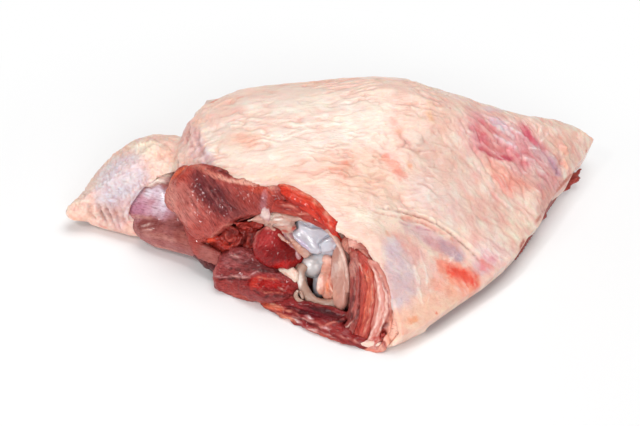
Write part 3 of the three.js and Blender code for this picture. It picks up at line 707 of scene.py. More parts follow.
    ("#E9908C", 0.6, 0.6, 0, -0.4, (86.5, 19.5, 29), (93, 18.5, 24.5), (98, 19, 22)),
    ("#FFF4EE", 0.6, 0.6, 0, 0.5, (97, 27.5, 26), (102, 26.5, 22.5), (106, 25.5, 19.5)),
    ("#C9A0A4", 0.7, 0.5, 0, -0.6, (97.5, 25, 25), (101.5, 25, 22), (105, 23.5, 19)),
    ("#FCE0C8", 1.5, 0.9, 0.3, 1.3, (114.5, 47.5, 24.5), (116, 45, 21), (116.5, 42, 19)),
    ("#F5BCA0", 1.3, 0.8, 0.3, 0.9, (114, 40.5, 20.5), (115.5, 37.5, 17.5), (115.5, 35, 15.5)),
    ("#B98F9A", 0.9, 0.5, 0, -0.7, (112, 44.5, 24.5), (112.5, 39.5, 21), (112.5, 34, 18)),
    ("#FFF5EC", 0.4, 0.7, 0, 0.3, (78, 2.5, 26), (82, 1.5, 23.5)),
    ("#FFF5EC", 0.4, 0.6, 0, 0.3, (87, 3.5, 21.5), (90, 1.5, 19), (93.5, -1.5, 15.5)),
    ("#E3A79E", 0.5, 0.5, 0, -0.4, (86, 1.5, 21), (91, -0.5, 17.5), (94, -3.5, 14)),
    ("#E8B5A5", 0.8, 0.5, 0, -0.8, (59.5, 34, 51.5), (64, 25.5, 45.5), (68.5, 17, 38.5)),
    (None, 1.1, 0, 0, -0.8, (-65.5, 24, 48), (-60.5, 23, 50.5), (-56, 24, 52), (-52, 25, 53)),
    ("#FCDFD2", 1.1, 0.5, 0, 0.7, (-66, 27, 48), (-61, 26, 50.5), (-56, 27, 52)),
    ("#C9A3A8", 1.2, 0.5, 0, -1.3, (-67.5, 28.5, 47), (-68, 18.5, 47), (-64.5, 7.5, 48), (-62, 0.5, 48.5)),
    ("#FFF4F0", 0.7, 0.8, 0, 0.5, (-70, 3.5, 45), (-65, 3, 47), (-60.5, 1.5, 49), (-57, -2, 49.5)),
    ("#FBE7D6", 1, 0.8, 0, 1, (-101, 29.5, 34.5), (-97.5, 30.5, 35.5), (-93.5, 29.5, 37.5)),
    ("#FBE7D6", 1.1, 0.8, 0, 1.1, (-91.5, 21.5, 37), (-91.5, 25, 37.5), (-88.5, 26.5, 38), (-83.5, 24, 37.5)),
    (None, 0.9, 0, 0, -0.9, (-90.5, 20.5, 36.5), (-89, 22.5, 37.5), (-87, 23.5, 37.5)),
    ("#DA9480", 0.9, 0.7, 0.4, -0.4, (-81, 21, 36.5), (-78, 20, 38.5)),
    ("#B4483C", 0.6, 0.8, 0, -0.8, (-77.5, 17, 39), (-76.5, 9, 40.5), (-77, 4.5, 39)),
    ("#F3D0C6", 1.3, 0.6, 0, 1.3, (-75.5, 16.5, 41), (-74.5, 7, 42), (-75.5, 1.5, 40)),
    ("#D0A79C", 0.8, 0.5, 0, -1, (-115.5, 10.5, 17.5), (-116, 9, 13.5), (-115, 8, 8.5), (-111.5, 8, 5)),
    ("#D0A79C", 0.8, 0.5, 0, -1, (-113.5, 9.5, 16.5), (-113.5, 8, 11), (-111.5, 6.5, 7.5), (-108.5, 7, 4)),
    ("#D0A79C", 0.8, 0.5, 0, -0.9, (-112, 8.5, 15), (-110.5, 6.5, 10.5), (-108.5, 5.5, 6.5)),
    ("#F8E6DB", 0.6, 0.7, 0, 0.8, (-116.5, 10.5, 16.5), (-117, 9, 12), (-116, 8, 7), (-113, 9, 4.5)),
    ("#F8E6DB", 0.6, 0.7, 0, 0.8, (-114.5, 10, 17), (-114.5, 8.5, 12.5), (-113, 7.5, 7.5), (-109.5, 7, 5)),
    ("#F8E6DB", 0.6, 0.7, 0, 0.8, (-112.5, 9.5, 16), (-112, 7.5, 11.5), (-110.5, 6, 7), (-107, 6.5, 3.5)),
    ("#C98F80", 0.6, 0.6, 0, -0.5, (-122, 11, 15.5), (-121.5, 9, 12), (-120.5, 8.5, 7.5)),
    ("#8E5A60", 0.45, 0.8, 0, 0, (-104, 3, 8.5), (-104.5, 4, 13.5), (-103, 5, 17), (-100, 5.5, 21), (-96.5, 7, 25),
     (-94, 8, 27.5), (-91.5, 8.5, 29.5)),
    # The cut rim of the skin at the right, where the meat shows.
    ("#B4513F", 1.1, 0.8, 0.4, 0, (129, 57.5, 15), (126.5, 53, 11.5), (123.5, 47.5, 11), (117.5, 35.5, 13),
     (113.5, 29, 14), (110, 22.5, 14), (107.5, 17, 13), (100.5, 5.5, 13), (96.5, -1.5, 13)),
    ("#A8443A", 1.2, 0.8, 0.4, 0, (91, -12.5, 11.5), (88.5, -16, 11.5), (86, -20, 9)),
    # Folds and fat on the lobe, and the thin wrinkled skin between it and the thigh. The wrinkles' darker grooves are
    # painted shade and their pale ridges painted highlights.
    ("#C98A70", 1.4, 0.7, 0.5, 0, (-116, 9.5, 4), (-111.5, 8.5, 4)),
    ("#D88A70", 0.7, 0.7, 0, -0.6, (-121.5, 10.5, 14.5), (-121.5, 9, 11), (-120.5, 8.5, 7)),
    ("#E9B0A8", 3, 0.7, 0.5, 0, (-123, 14.5, 18), (-121, 10.5, 15.5)),
    ("#F6E8D6", 0.9, 0.8, 0, 0.9, (-93.5, 22.5, 37), (-91.5, 25.5, 37.5), (-88, 26, 38), (-87, 23, 37.5),
     (-90, 21.5, 37)),
    ("#F3E0CC", 0.9, 0.7, 0, 0.8, (-100.5, 33, 34), (-98, 32.5, 35.5), (-96.5, 28.5, 36)),
    ("#EFA284", 4, 0.8, 0.7, 0, (-84.5, 22.5, 37.5), (-80.5, 21.5, 36.5), (-79, 19, 37.5)),
    ("#A8574A", 0.6, 0.8, 0, -0.9, (-77, 18.5, 40), (-77.5, 12, 39.5), (-76.5, 5.5, 40), (-84, 49.5, 4.5)),
    ("#F7EBDC", 0.8, 0.8, 0, 0.8, (-75.5, 15, 41.5), (-75.5, 8.5, 41), (-75, 4, 41)),
    ("#EEDCDC", 0.7, 0.8, 0, 0.7, (-74.5, 39, 40.5), (-74, 25, 42.5), (-75, 17, 41.5)),
    ("#EEDCDC", 0.7, 0.8, 0, 0.7, (-69.5, 34, 45.5), (-70, 21.5, 46), (-71.5, 13.5, 45), (-73, 7, 43)),
    ("#C79C9C", 0.6, 0.7, 0, -0.7, (-72.5, 35, 43), (-72.5, 22.5, 44.5), (-73.5, 14.5, 43.5)),
    ("#F4E6DE", 1, 0.8, 0.5, 0.6, (-92, 9, 29), (-88, 10, 30.5), (-74.5, -1, 40)),
    ("#E8C9C0", 3, 0.7, 0.6, 0, (-73.5, 4.5, 42.5), (-70, 4, 45), (-66, 3, 47)),
    # The bruised right end: folds full of blood, with pale ridges between that are painted highlights, like the thin
    # near-white lines over it.
    ("#CC4660", 1.3, 0.6, 0.5, -0.5, (63.5, 30, 48), (74, 29, 41), (83.5, 25.5, 33.5), (92.5, 24.5, 27.5)),
    ("#D2526A", 1.5, 0.6, 0.6, -0.4, (68.5, 22.5, 41.5), (76.5, 22.5, 36.5), (86.5, 25.5, 31.5)),
    ("#D9667A", 2.2, 0.8, 0.6, 0, (91.5, 43.5, 37), (96, 42, 34), (101.5, 39.5, 29)),
    ("#DB6F7E", 2, 0.8, 0.6, 0, (70, 37.5, 47), (77.5, 36, 42.5), (87, 34, 35.5)),
    ("#DE7B84", 2.4, 0.7, 0.7, 0, (67.5, 29, 45.5), (75.5, 28, 40), (84, 28, 34.5)),
    ("#F4DEE4", 0.9, 0.8, 0, 0.8, (76, 33, 42), (84, 32, 36.5), (91, 32, 32)),
    ("#F4DEE4", 0.9, 0.8, 0, 0.8, (79, 40.5, 43), (88.5, 40.5, 37.5), (95.5, 40, 33)),
    ("#F1D2D4", 0.9, 0.7, 0, 0.8, (88, 27, 31.5), (98, 30.5, 27), (106.5, 32, 22)),
    ("#F1D2D4", 0.8, 0.7, 0, 0.6, (71, 43, 46), (80.5, 43, 42.5), (90.5, 44, 38)),
    ("#F1A290", 5.5, 0.7, 0.6, 0, (75.5, 16, 34), (83, 16, 29.5), (92.5, 16, 23.5)),
    ("#C9A4B6", 3.2, 0.8, 0.5, 0, (107.5, 35.5, 23), (110.5, 31.5, 18.5)),
    ("#CC9890", 5, 0.6, 0.5, 0, (97.5, 22.5, 23.5), (105.5, 18, 16), (100.5, 6, 13.5)),
    ("#DBA8A8", 6, 0.6, 0.5, 0, (89, 21.5, 28.5), (100, 21.5, 21.5)),
    ("#FFF2EE", 0.5, 0.8, 0, 0.4, (108, 50.5, 30.5), (101.5, 41.5, 30)),
    ("#FFF2EE", 0.5, 0.8, 0, 0.4, (94, 35, 31.5), (104, 39, 27)),
    ("#FFF2EE", 0.5, 0.7, 0, 0.4, (79, 20.5, 34), (89, 20, 28), (97.5, 23, 24)),
    ("#FFF2EE", 0.5, 0.7, 0, 0.4, (74.5, 24.5, 38.5), (83.5, 23, 32.5)),
    ("#F6C4A8", 2.2, 0.9, 0.5, 0.9, (114, 47.5, 24.5), (114.5, 41.5, 20.5)),
    ("#E8795C", 1.2, 0.8, 0.6, 0, (112.5, 38.5, 20.5), (114, 37, 18.5)),
    ("#8E4A52", 0.7, 0.5, 0, -0.6, (117, 49, 22.5), (112.5, 39, 20.5), (109, 28.5, 18.5)),
    # Fine pale lines, which are painted highlights, and scratches in the middle.
    ("#FFF3EA", 0.4, 0.7, 0, 0.4, (53.5, 16.5, 46.5), (55.5, 6.5, 41), (63.5, 0, 33)),
    ("#FFF3EA", 0.4, 0.6, 0, 0.3, (60, 11.5, 41), (69, 5, 32.5), (74, -0.5, 27)),
    ("#FFF3EA", 0.4, 0.6, 0, 0.3, (46, 0.5, 42.5), (55.5, 3, 39)),
    ("#D9A493", 0.5, 0.6, 0, -0.5, (38, 27, 58), (45.5, 19, 52.5), (56, 14.5, 44.5), (69, 9, 34.5), (74, 2, 28.5)),
    ("#FFF3EA", 0.5, 0.4, 0, 0.25, (40, 27.5, 58), (47.5, 20, 52), (58, 15.5, 44), (71, 10, 33.5), (77, 3.5, 27.5)),
    ("#FFF3EA", 0.5, 0.7, 0, 0.5, (75.5, 1.5, 27.5), (84.5, -1, 21), (94, -4.5, 13.5)),
    ("#F2A08A", 1, 0.6, 0.7, 0, (28.5, -29.5, 37.5), (36.5, -24.5, 34.5), (44, -24.5, 31)),
    ("#E58F80", 0.6, 0.7, 0, -0.4, (28.5, -30.5, 37.5), (37.5, -26, 33), (48, -26.5, 28), (55.5, -28.5, 23)),
    ("#FFF5F0", 0.4, 0.7, 0, 0.3, (37, -41, 30), (40, -50, 24.5), (41, -58, 19)),
    ("#FFF5F0", 0.4, 0.7, 0, 0.3, (33, -47.5, 30.5), (35.5, -57, 24), (37, -62.5, 19)),
    ("#FFF5F0", 0.4, 0.6, 0, 0.3, (55.5, -31, 22), (51, -41, 20.5), (56, -33.5, 20.5)),
    ("#E9A7A2", 6, 0.6, 0.6, 0, (30.5, -42, 34), (35.5, -44.5, 29.5)),
    ("#C98C98", 3, 0.6, 0.6, 0, (41, -34.5, 28), (45, -35.5, 25.5)),
    # A warmer, ragged upper left edge with red threads.
    ("#DCA69B", 5.5, 0.5, 0.4, 0, (-73.9, 38.3, 40.9), (-74.4, 24.6, 42.2), (-75.1, 12.1, 41.7)),
    ("#E9B7A8", 5, 0.45, 0.4, 0, (-69.6, 42.3, 44.1), (-70.5, 26.9, 45.4), (-71.7, 14.3, 44.8)),
    ("#B5625A", 0.5, 0.6, 0, -0.4, (-73.1, 46.5, 39.5), (-73.6, 34.5, 41.8), (-73.8, 22.5, 43.1), (-74.6, 13.1, 42.1)),
    ("#F3D9CC", 0.7, 0.7, 0.2, 0.5, (-70.9, 39.5, 43.7), (-71.6, 28, 44.6), (-71.8, 16.8, 44.8), (-72.9, 9.4, 43.6)),
    ("#C2736A", 0.5, 0.5, 0, -0.3, (-68.4, 47.1, 43.9), (-64.9, 48.1, 46.2), (-60.3, 47.9, 48.7)),
    ("#B5625A", 0.5, 0.6, 0, -0.4, (-68.9, 32.9, 45.9), (-69.7, 21.7, 46), (-70.1, 13.2, 45.6)),
    # The dark red line along the cut edge of the skin: painted shade of the narrow gap between the skin and the
    # muscle under it.
    ("#8E1F1C", 0.7, 0.9, 0, -0.2, (-62.6, -4.7, 51.6), (-55.7, -8.8, 51.1), (-48.7, -12.6, 51.2),
     (-41.5, -16.3, 51.8), (-35.1, -19.2, 52.8), (-30.5, -21.1, 53.5)),
    # The lobe: its knob at the end, the neck's curved folds, and the fat along its top. The darker grooves between the
    # fat's ridges are painted shade.
    ("#F3D8CB", 9, 0.7, 0.3, 0, (-81.5, 21.5, 37), (-78, 16, 39), (-82.5, 15, 35)),
    ("#F4E2CF", 5, 0.7, 0.4, 0.2, (-97.5, 28.5, 36), (-91.5, 27, 38), (-86, 25.5, 38)),
    ("#E6D4D2", 9, 0.6, 0.4, 0, (-116, 24.5, 23), (-108.5, 22.5, 29.5), (-101, 21.5, 33.5)),
    ("#DAD3DC", 9, 0.7, 0.4, 0, (-112, 14, 25), (-105.5, 14, 28), (-102.5, 10.5, 25)),
    ("#F0D3C6", 5, 0.8, 0.4, 0, (-121.5, 25, 18), (-123.5, 18.5, 17.5), (-123.5, 12.5, 17)),
    ("#F3DACB", 7, 0.8, 0.3, 0.6, (-130, 10.5, 11.5), (-127.5, 10.5, 13), (-125.5, 9, 12)),
    ("#F0A884", 3, 0.9, 0.5, 0.2, (-127, 8.5, 8), (-124, 9, 7.5), (-122, 9, 8.5)),
    ("#F6D3BD", 2, 0.7, 0.4, 0.3, (-132, 12, 11), (-131, 9.5, 8)),
    ("#DE9284", 1.4, 0.7, 0.5, 0, (-119, 9.5, 4), (-116, 9.5, 4), (-111, 8.5, 3.5)),
    ("#E9D9DA", 0.9, 0.9, 0, 0.9, (-104, 5, 16), (-103, 6, 19.5), (-101, 7.5, 22.5), (-98.5, 8.5, 25.5),
     (-95, 9, 27.5)),
    ("#F8E6D4", 1, 0.9, 0, 1.2, (-98.5, 30, 35.5), (-95.5, 31, 36.5), (-92, 30.5, 38), (-88, 30, 38)),
    ("#FAE8D8", 1.1, 0.9, 0, 1.3, (-92, 23, 37), (-91, 25.5, 37.5), (-88, 26, 38), (-86.5, 24, 37.5), (-88, 22, 37.5)),
    ("#D9A992", 0.8, 0.7, 0, -0.8, (-97, 26, 36), (-94, 26, 37.5), (-91.5, 27.5, 38), (-87.5, 28, 38)),
    ("#D9A992", 0.7, 0.7, 0, -0.7, (-90, 20, 36.5), (-87, 20, 37), (-84.5, 22, 37.5)),
    ("#F3E0D0", 0.9, 0.8, 0, 0.9, (-85.5, 17, 36), (-82, 15, 34.5), (-80, 14, 31)),
    ("#E07A5E", 1, 0.8, 0.5, 0, (-82, 22, 37), (-80.5, 23, 37)),
    ("#E58A70", 1.1, 0.7, 0.5, 0, (-81, 20, 36.5), (-78, 16.5, 38.5)),
    ("#B5564A", 0.5, 0.8, 0, -0.8, (-77, 12.5, 40), (-76.5, 7, 40.5), (-77, 4.5, 39), (-80, 13.5, 30.5)),
    ("#F7EBDC", 1.1, 0.9, 0.4, 0.8, (-93.5, 8.5, 28.5), (-90.5, 10, 27), (-87.5, 10.5, 28.5), (-82.5, 10.5, 29.5),
     (-78, 20, 25)),
    ("#8E2430", 0.45, 0.9, 0.3, -0.3, (-85.5, 10.5, 29)),
    ("#8E2430", 0.4, 0.9, 0.3, -0.3, (-90, 9.5, 27)),
    ("#A8624E", 0.5, 0.7, 0, -0.6, (-96, 8, 26.5), (-93, 8, 27.5), (-90, 9, 26.5), (-87, 9.5, 28)),
    # The curved folds of the lobe's neck, down to where it lies on the surface. Their darker grooves are painted
    # shade and their pale ridges painted highlights.
    ("#B98E88", 5.5, 0.6, 0.4, 0, (-114.5, 8, 10), (-108, 5.5, 12)),
    ("#F0D2C4", 7, 0.7, 0.3, 0, (-125.5, 9.5, 12.5), (-122.5, 9, 7.5), (-117, 6.5, 4.5)),
    ("#D6A094", 0.9, 0.8, 0, -1.2, (-121.5, 10.5, 15), (-120.5, 9, 11), (-119.5, 7, 6)),
    ("#F3DACE", 0.9, 0.8, 0, 1, (-119.5, 10.5, 16), (-118.5, 9, 11), (-117, 6, 6.5)),
    ("#B58880", 0.9, 0.9, 0, -1.5, (-117.5, 10, 16), (-115.5, 8.5, 11.5), (-112.5, 4.5, 7)),
    ("#EEDDD8", 0.9, 0.9, 0, 1.2, (-115.5, 9.5, 15.5), (-113.5, 7, 10.5), (-110, 3.5, 6)),
    ("#AA7E78", 0.9, 0.9, 0, -1.5, (-113.5, 9.5, 16), (-111.5, 7, 11), (-108, 2.5, 6)),
    ("#EBDAD8", 0.9, 0.9, 0, 1.2, (-112, 9, 15.5), (-109.5, 6, 11), (-106, 1.5, 6)),
    ("#B08886", 0.8, 0.9, 0, -1.3, (-110, 8, 15.5), (-108, 5, 11), (-105, 1, 6)),
    ("#EFE0DC", 1.1, 0.9, 0, 1.2, (-106.5, 6, 15), (-106, 3, 10.5), (-103.5, 0.5, 5.5)),
    ("#D98A78", 1.2, 0.8, 0.5, 0, (-118, 6.5, 5.5), (-114.5, 5, 4.5), (-111, 4.5, 3.5)),
    # Blush that deepens the skin here and there, and a few thin near-white lines that are painted highlights.
    ("#EFBDA6", 15, 0.5, 0.4, 0, (3.5, -8.5, 52.5), (13, -6.5, 51.5)),
    ("#CE9A9C", 6, 0.6, 0.4, 0, (50, -34, 23.5), (53.5, -32.5, 22.5)),
    ("#DBAFAD", 8, 0.5, 0.4, 0, (26, -64, 26.5), (29.5, -62.5, 25)),
    ("#D9A092", 9, 0.5, 0.4, 0, (112, 42, 23.5), (118.5, 46.5, 20)),
    ("#E0B0A0", 11, 0.5, 0.4, 0, (69, -9, 26.5), (77, -5, 23.5)),
    ("#DFB8A8", 12, 0.4, 0.4, 0, (45, 5.5, 45.5), (53, 8.5, 43)),
    ("#EE5A46", 4, 0.5, 0.4, 0, (59, -43.5, 15), (62, -42.5, 14)),
    ("#E9DEE4", 9, 0.5, 0.4, 0, (-110.5, 21, 28), (-101.5, 16, 31.5)),
    ("#7A1B18", 0.9, 1, 0.2, -0.8, (22.5, -73.1, 13.5), (21.3, -74, 9.7), (20.2, -76, 4.5), (18.7, -76.6, 1.8)),
    ("#F4C0AE", 1.2, 0.8, 0.2, 0.8, (24, -74, 9), (23, -76, 4.5)),
    ("#E8B4AC", 1.5, 0.6, 0.5, 0, (18, -60, 33), (20.5, -65, 27.5), (22.5, -69, 22)),
    ("#FBEAE0", 0.5, 0.8, 0, 0.3, (18.5, -55, 38), (23, -55.5, 34.5), (26.5, -55, 32)),
    ("#E5B2B0", 2.4, 0.6, 0.6, 0, (28.5, -47.5, 34), (31.5, -49, 31), (34.5, -50, 28.5)),
    ("#FBE6DC", 0.6, 0.8, 0.4, 0.3, (34.5, -51.5, 28), (36.5, -55.5, 24), (37, -60, 20.5), (38, -64, 17.5)),
    ("#FBE6DC", 0.5, 0.7, 0.4, 0.3, (41, -52.5, 22.5), (42.5, -57, 18.5), (40.5, -63.5, 15.5)),
    ("#F5BFA8", 3, 0.6, 0.5, 0, (24, -71.5, 15.5), (26.5, -76, 14), (29, -78, 10.5)),
    ("#F6A890", 3.4, 0.6, 0.6, 0, (43.5, -54.5, 19.5), (48.5, -53, 16.5), (53, -53.5, 13.5)),
)
# Skin that hangs over and rolls round its lower edges, as strands in mm.
SKIN_ROLLS = (
    ("strand", ((8, -75.5, 1.6, 1.2), (14, -76.3, 1.9, 1.8), (20, -76.4, 2.1, 2.1), (26, -74.2, 2.3, 2.3),
     (32, -70, 2.6, 2.6), (39, -65, 3, 3))),
    ("strand", ((-121, 12.5, 6, 4.5), (-113, 10.6, 6, 5.8), (-106, 8.2, 6.2, 6), (-100, 5.2, 6.6, 6),
     (-95.5, 2.6, 7, 5.2))),
)


# Where the skin's lower edge draws in at the right.
SKIN_PULLS = (
    ((104, 18, 3), 22, (-2.6, 1.4, 2)),
    ((123, 45, 4), 11, (-2.6, 1.2, 2.4)),
    ((91, -7, 3), 14, (-1.4, 0.8, 1.4)),
)


TOUCHING = 0.6  # mm from the meat within which nobody sees the skin


def thin_inside(piece, share):
    """Fewer faces on the side of a piece that lies on the meat, where nobody sees it"""
    meat = bmesh.new()
    for node in ("thigh_meat", "lobe_meat"):
        meat.from_mesh(NODES[node].data)
    tree = BVHTree.FromBMesh(meat)
    meat.free()
    hidden = [vertex.index for vertex in piece.data.vertices if tree.find_nearest(vertex.co)[3] < TOUCHING * MM]
    piece.vertex_groups.new(name="inside").add(hidden, 1.0, "ADD")
    fewer = piece.modifiers.new("Decimate", "DECIMATE")
    fewer.ratio = share
    fewer.vertex_group = "inside"
    depsgraph = bpy.context.evaluated_depsgraph_get()
    mesh = bpy.data.meshes.new_from_object(piece.evaluated_get(depsgraph), depsgraph=depsgraph)
    piece.modifiers.clear()
    piece.vertex_groups.clear()
    mesh.name = piece.data.name
    piece.data = mesh


def build_skin(settings):
    skin = soft_piece("thigh_skin", "skin", settings.skin_grid / MM, 0, SKIN_ROLLS, Matrix())
    thin_inside(skin, 0.5)
    mesh = skin.data
    normals = normals_of(mesh)
    points = pulled(points_of(mesh), SKIN_PULLS)
    # Shares of the skin's parts: what faces up, the right end, the lobe, and the flat top between them.
    top = smooth_step(0.05, 0.5, normals[:, 2])
    right = smooth_step(35, 75, points[:, 0])
    left = smooth_step(-70, -85, points[:, 0])
    middle = (1 - right) * (1 - left)
    plateau = middle * smooth_step(-32, -8, points[:, 1])
    bloody = 1 - smooth_step(10, 34, np.linalg.norm((points - (87, 31, 33)) * (0.8, 1, 0.8), axis=1))
    # Creases that run across the thigh, come and go, fan out on the right, and crackle on the lobe.
    ripple = np.column_stack([points[:, 0], points[:, 1] + lattice_noise(points / 8, 20) * 2.5, points[:, 2]])
    across = creases(turned(ripple, 4) / (17, 3.6, 7), 21) * smooth_step(-0.35, 0.45, lattice_noise(points / 17, 22))
    finer = creases(turned(ripple, 8) / (9, 2.4, 5), 24)
    across += 0.6 * finer * smooth_step(-0.1, 0.6, lattice_noise(points / 13, 25))
    fanned = creases(turned(ripple, -36) / (24, 4.4, 8), 31) + 0.5 * creases(turned(ripple, -28) / (11, 2.6, 5), 34)
    crackle = creases(points / 3.1, 41) + 0.7 * creases(points / 1.7, 42)
    depth = settings.crease_depth / MM
    lines = across * (0.5 + 0.8 * plateau) * middle
    lines += fanned * (0.4 + 0.4 * bloody) * right + crackle * 0.9 * left
    # Soft swells, and a wrinkled web between the thigh and the lobe.
    move = layered_noise(points / 24, 11, 2) * 0.8 + lattice_noise(points / 6, 44) * 0.3
    move += lattice_noise(points / 2.6, 47) * (0.08 + 0.2 * left)
    web = smooth_step(-54, -66, points[:, 0]) * (1 - left) * smooth_step(70, 50, points[:, 1])
    move += (layered_noise(points / (4, 6, 5), 61, 2) * 1.3 + creases(turned(points, 70) / (14, 3, 6), 64) * 0.9) * web
    colours, strokes = brushed(plain(SKIN_BASE, points), points, SKIN_STROKES, 100)
    colours = shaded(colours, layered_noise(turned(points, 3) / (15, 7, 7), 51, 2), 0.09)
    # Pinker and creamier patches all over, and pale lines of fat that fan out on the right.
    blush = layered_noise(turned(points, -30) / (10, 4.4, 6), 71) * (0.6 + 0.8 * right)
    colours *= 1 + np.outer(blush, (0.03, 0.3, 0.27))
    fat_lines = smooth_step(0, 0.5, lattice_noise(points / 11, 75)) * right
    fat_lines *= -creases(turned(ripple, -50) / (21, 2.4, 6), 74)
    colours += (linear("#FFF3E8") - colours) * (fat_lines * 0.5)[:, None]
    move += fat_lines * 0.3
    # Painted shade darkens the creases' valleys, and it is redder where there is blood in them.
    valley = np.clip(-lines, 0, 1)[:, None]
    crease_shade_and_blood = np.array([0.9, 0.66, 0.62]) * (1 - bloody[:, None]) + np.array([0.86, 0.46, 0.5]) * bloody[:, None]
    colours *= 1 - valley * (1 - crease_shade_and_blood) * 0.75
    place_points(mesh, points + normals * ((move + lines * depth) * top + strokes)[:, None])
    paint_piece(mesh, colours, np.where(right[:, None] > 0.5, turned(points, -38), turned(points, 4)))
    hand_in(skin, "skin", raw_skin_material(), "skin")


# ---------------------------------------------------------------- the opening

# Every piece of the opening, in mm in the cut face's frame. grid is the side of its faces, grow how far its surface is
# moved out, lumps and fibres how far noise moves it, streaks how strongly its colour changes along its grain. turn is
# the direction of the grain, or spine is the line that it follows. The added shapes flow into the CAD solid. Pulls are
# as for pulled, patches as for painted and strokes as for brushed.
OPENING = {}
OPENING["upper_muscle"] = dict(
    slot="dark_muscle", grid=0.58, grow=0.4, base="#C0625A", turn=-38, lumps=0.5, fibres=0.35, streaks=0.5,
    added=(
        ("lump", (2, 51.5, -3), (16, 4.5, 4.5), 5),
        ("lump", (-14, 52.5, -2.5), (11, 3.5, 4), 4),
        ("lump", (-33, 39, -5), (7, 12, 6), -8),
        ("lump", (-18, 26, -3.5), (9, 6, 4.5), -35),
    ),
    pulls=(((-43, 42, -7), 15, (3.6, 0, 0)), ((-36, 27, -8), 12, (2, 1.5, 0))),
    patches=(
        ("#D48C82", (-27, 34), (13, 11), -35, 0.85, 0.5),
        ("#AE4C44", (8, 49), (13, 8), -10, 0.8, 0.4),
        ("#7C2C34", (-9, 44), (15, 7.5), -36, 0.95, 0.45, -0.8),
        ("#7E3036", (-19, 46), (9, 5), -50, 0.8, 0.5, -0.3),
        ("#8E3A38", (2, 42), (11, 3.4), -20, 0.7, 0.5),
        ("#CC5744", (-31, 49.5), (7, 5), 30, 0.8, 0.4, 0.2),
        ("#D06A5E", (-14, 23.5), (8, 4), -25, 0.8, 0.4, 0.2),
        ("#D9988C", (-33, 36), (4, 11), 10, 0.8, 0.5),
        ("#D4604A", (12, 54), (9, 2.4), 2, 0.8, 0.4),
        ("#C28A92", (15.6, 49), (2, 6), 8, 0.7, 0.4, 0.2),
        ("#A83A30", (22, 50), (4, 7), 0, 0.9, 0.3, -0.3),
    ),
    strokes=(
        ("#EE8560", 1, 0.8, 0.4, 0.3, (-38, 30), (-37.8, 36), (-36.6, 42), (-34, 47.5), (-30.5, 51.5)),
        ("#DE8E7C", 1.3, 0.8, 0.4, 0.3, (-30, 54), (-21.3, 54.6), (-12.6, 53.6), (-6.5, 53.4), (4, 54.6)),
        ("#EFB8A6", 1, 0.85, 0.3, 0.3, (-11.2, 53.7), (-4.7, 53.6), (4.7, 54.8), (12.5, 56.4), (19.5, 56.8)),
        # Painted shade of the narrow gap between this muscle and the skin above it.
        ("#7A1A16", 0.7, 0.95, 0, -0.5, (-16, 56.4), (-9, 56), (-3, 56.1), (4, 57), (11, 58.4)),
        ("#E5AFA2", 0.4, 0.5, 0, 0.3, (-17, 52.5), (-14, 53.2), (-12, 52.4)),
        ("#D08C86", 0.45, 0.5, 0, 0.3, (-16, 47.5), (-9, 42), (-3, 38.5)),
        ("#5B2029", 0.5, 0.8, 0, -0.4, (-14.5, 48.5), (-7, 42.6), (-1, 39.4)),
        ("#CC8A84", 0.45, 0.45, 0, 0.25, (-12.5, 47.5), (-5, 42), (2, 39)),
        ("#5B2029", 0.5, 0.7, 0, -0.4, (-11, 48.6), (-3, 43), (5, 40.2)),
        ("#5B2029", 0.5, 0.7, 0, -0.35, (-19, 47), (-12, 41), (-6, 36)),
        ("#C88A80", 0.4, 0.45, 0, 0.2, (-22, 44), (-15, 38), (-9, 33.5)),
        ("#6E2B30", 0.45, 0.6, 0, -0.3, (-25, 42), (-19, 36.5), (-13, 32)),
        ("#E5B7AA", 0.5, 0.7, 0.3, 0.2, (-26.5, 37), (-24.5, 36.4)),
        ("#E8A08E", 0.5, 0.7, 0, 0.2, (-9, 21.6), (-6, 26.4), (-2, 31), (4, 35), (9, 37.6)),
    ),
)
OPENING["middle_muscle"] = dict(
    slot="red_muscle", grid=0.5, grow=0.5, base="#C04E42", lumps=0.6, fibres=0.4, streaks=0.5,
    spine=((18, 49), (26, 51), (36, 51), (46, 49)),
    added=(("strand", ((19, 48.4, -0.5, 2.8), (25, 49.8, 0, 3.6), (33, 50.6, 0, 3.4), (41, 50, 0, 2.4)), 0.8),),
    # Its thin dark patch and dark lines are painted shade in its crevices, and its pink lines painted highlights.
    patches=(("#C9604F", (28, 47), (9, 1.8), 8, 0.7, 0.5), ("#8E2A28", (33, 52.6), (8, 1.2), -8, 0.6, 0.5)),
    strokes=(
        ("#6A1A1D", 0.9, 0.9, 0.4, -0.7, (19.5, 53.2), (24, 53.6), (27, 52.4)),
        ("#E8A594", 0.5, 0.8, 0, 0.3, (24, 50.4), (29, 51.2), (33, 51)),
        ("#8E2A28", 0.5, 0.7, 0, -0.4, (21, 49.6), (28, 49.4), (35, 50)),
        ("#EDB3A0", 0.5, 0.7, 0, 0.2, (32, 48.6), (37, 50), (42, 50.4)),
    ),
)
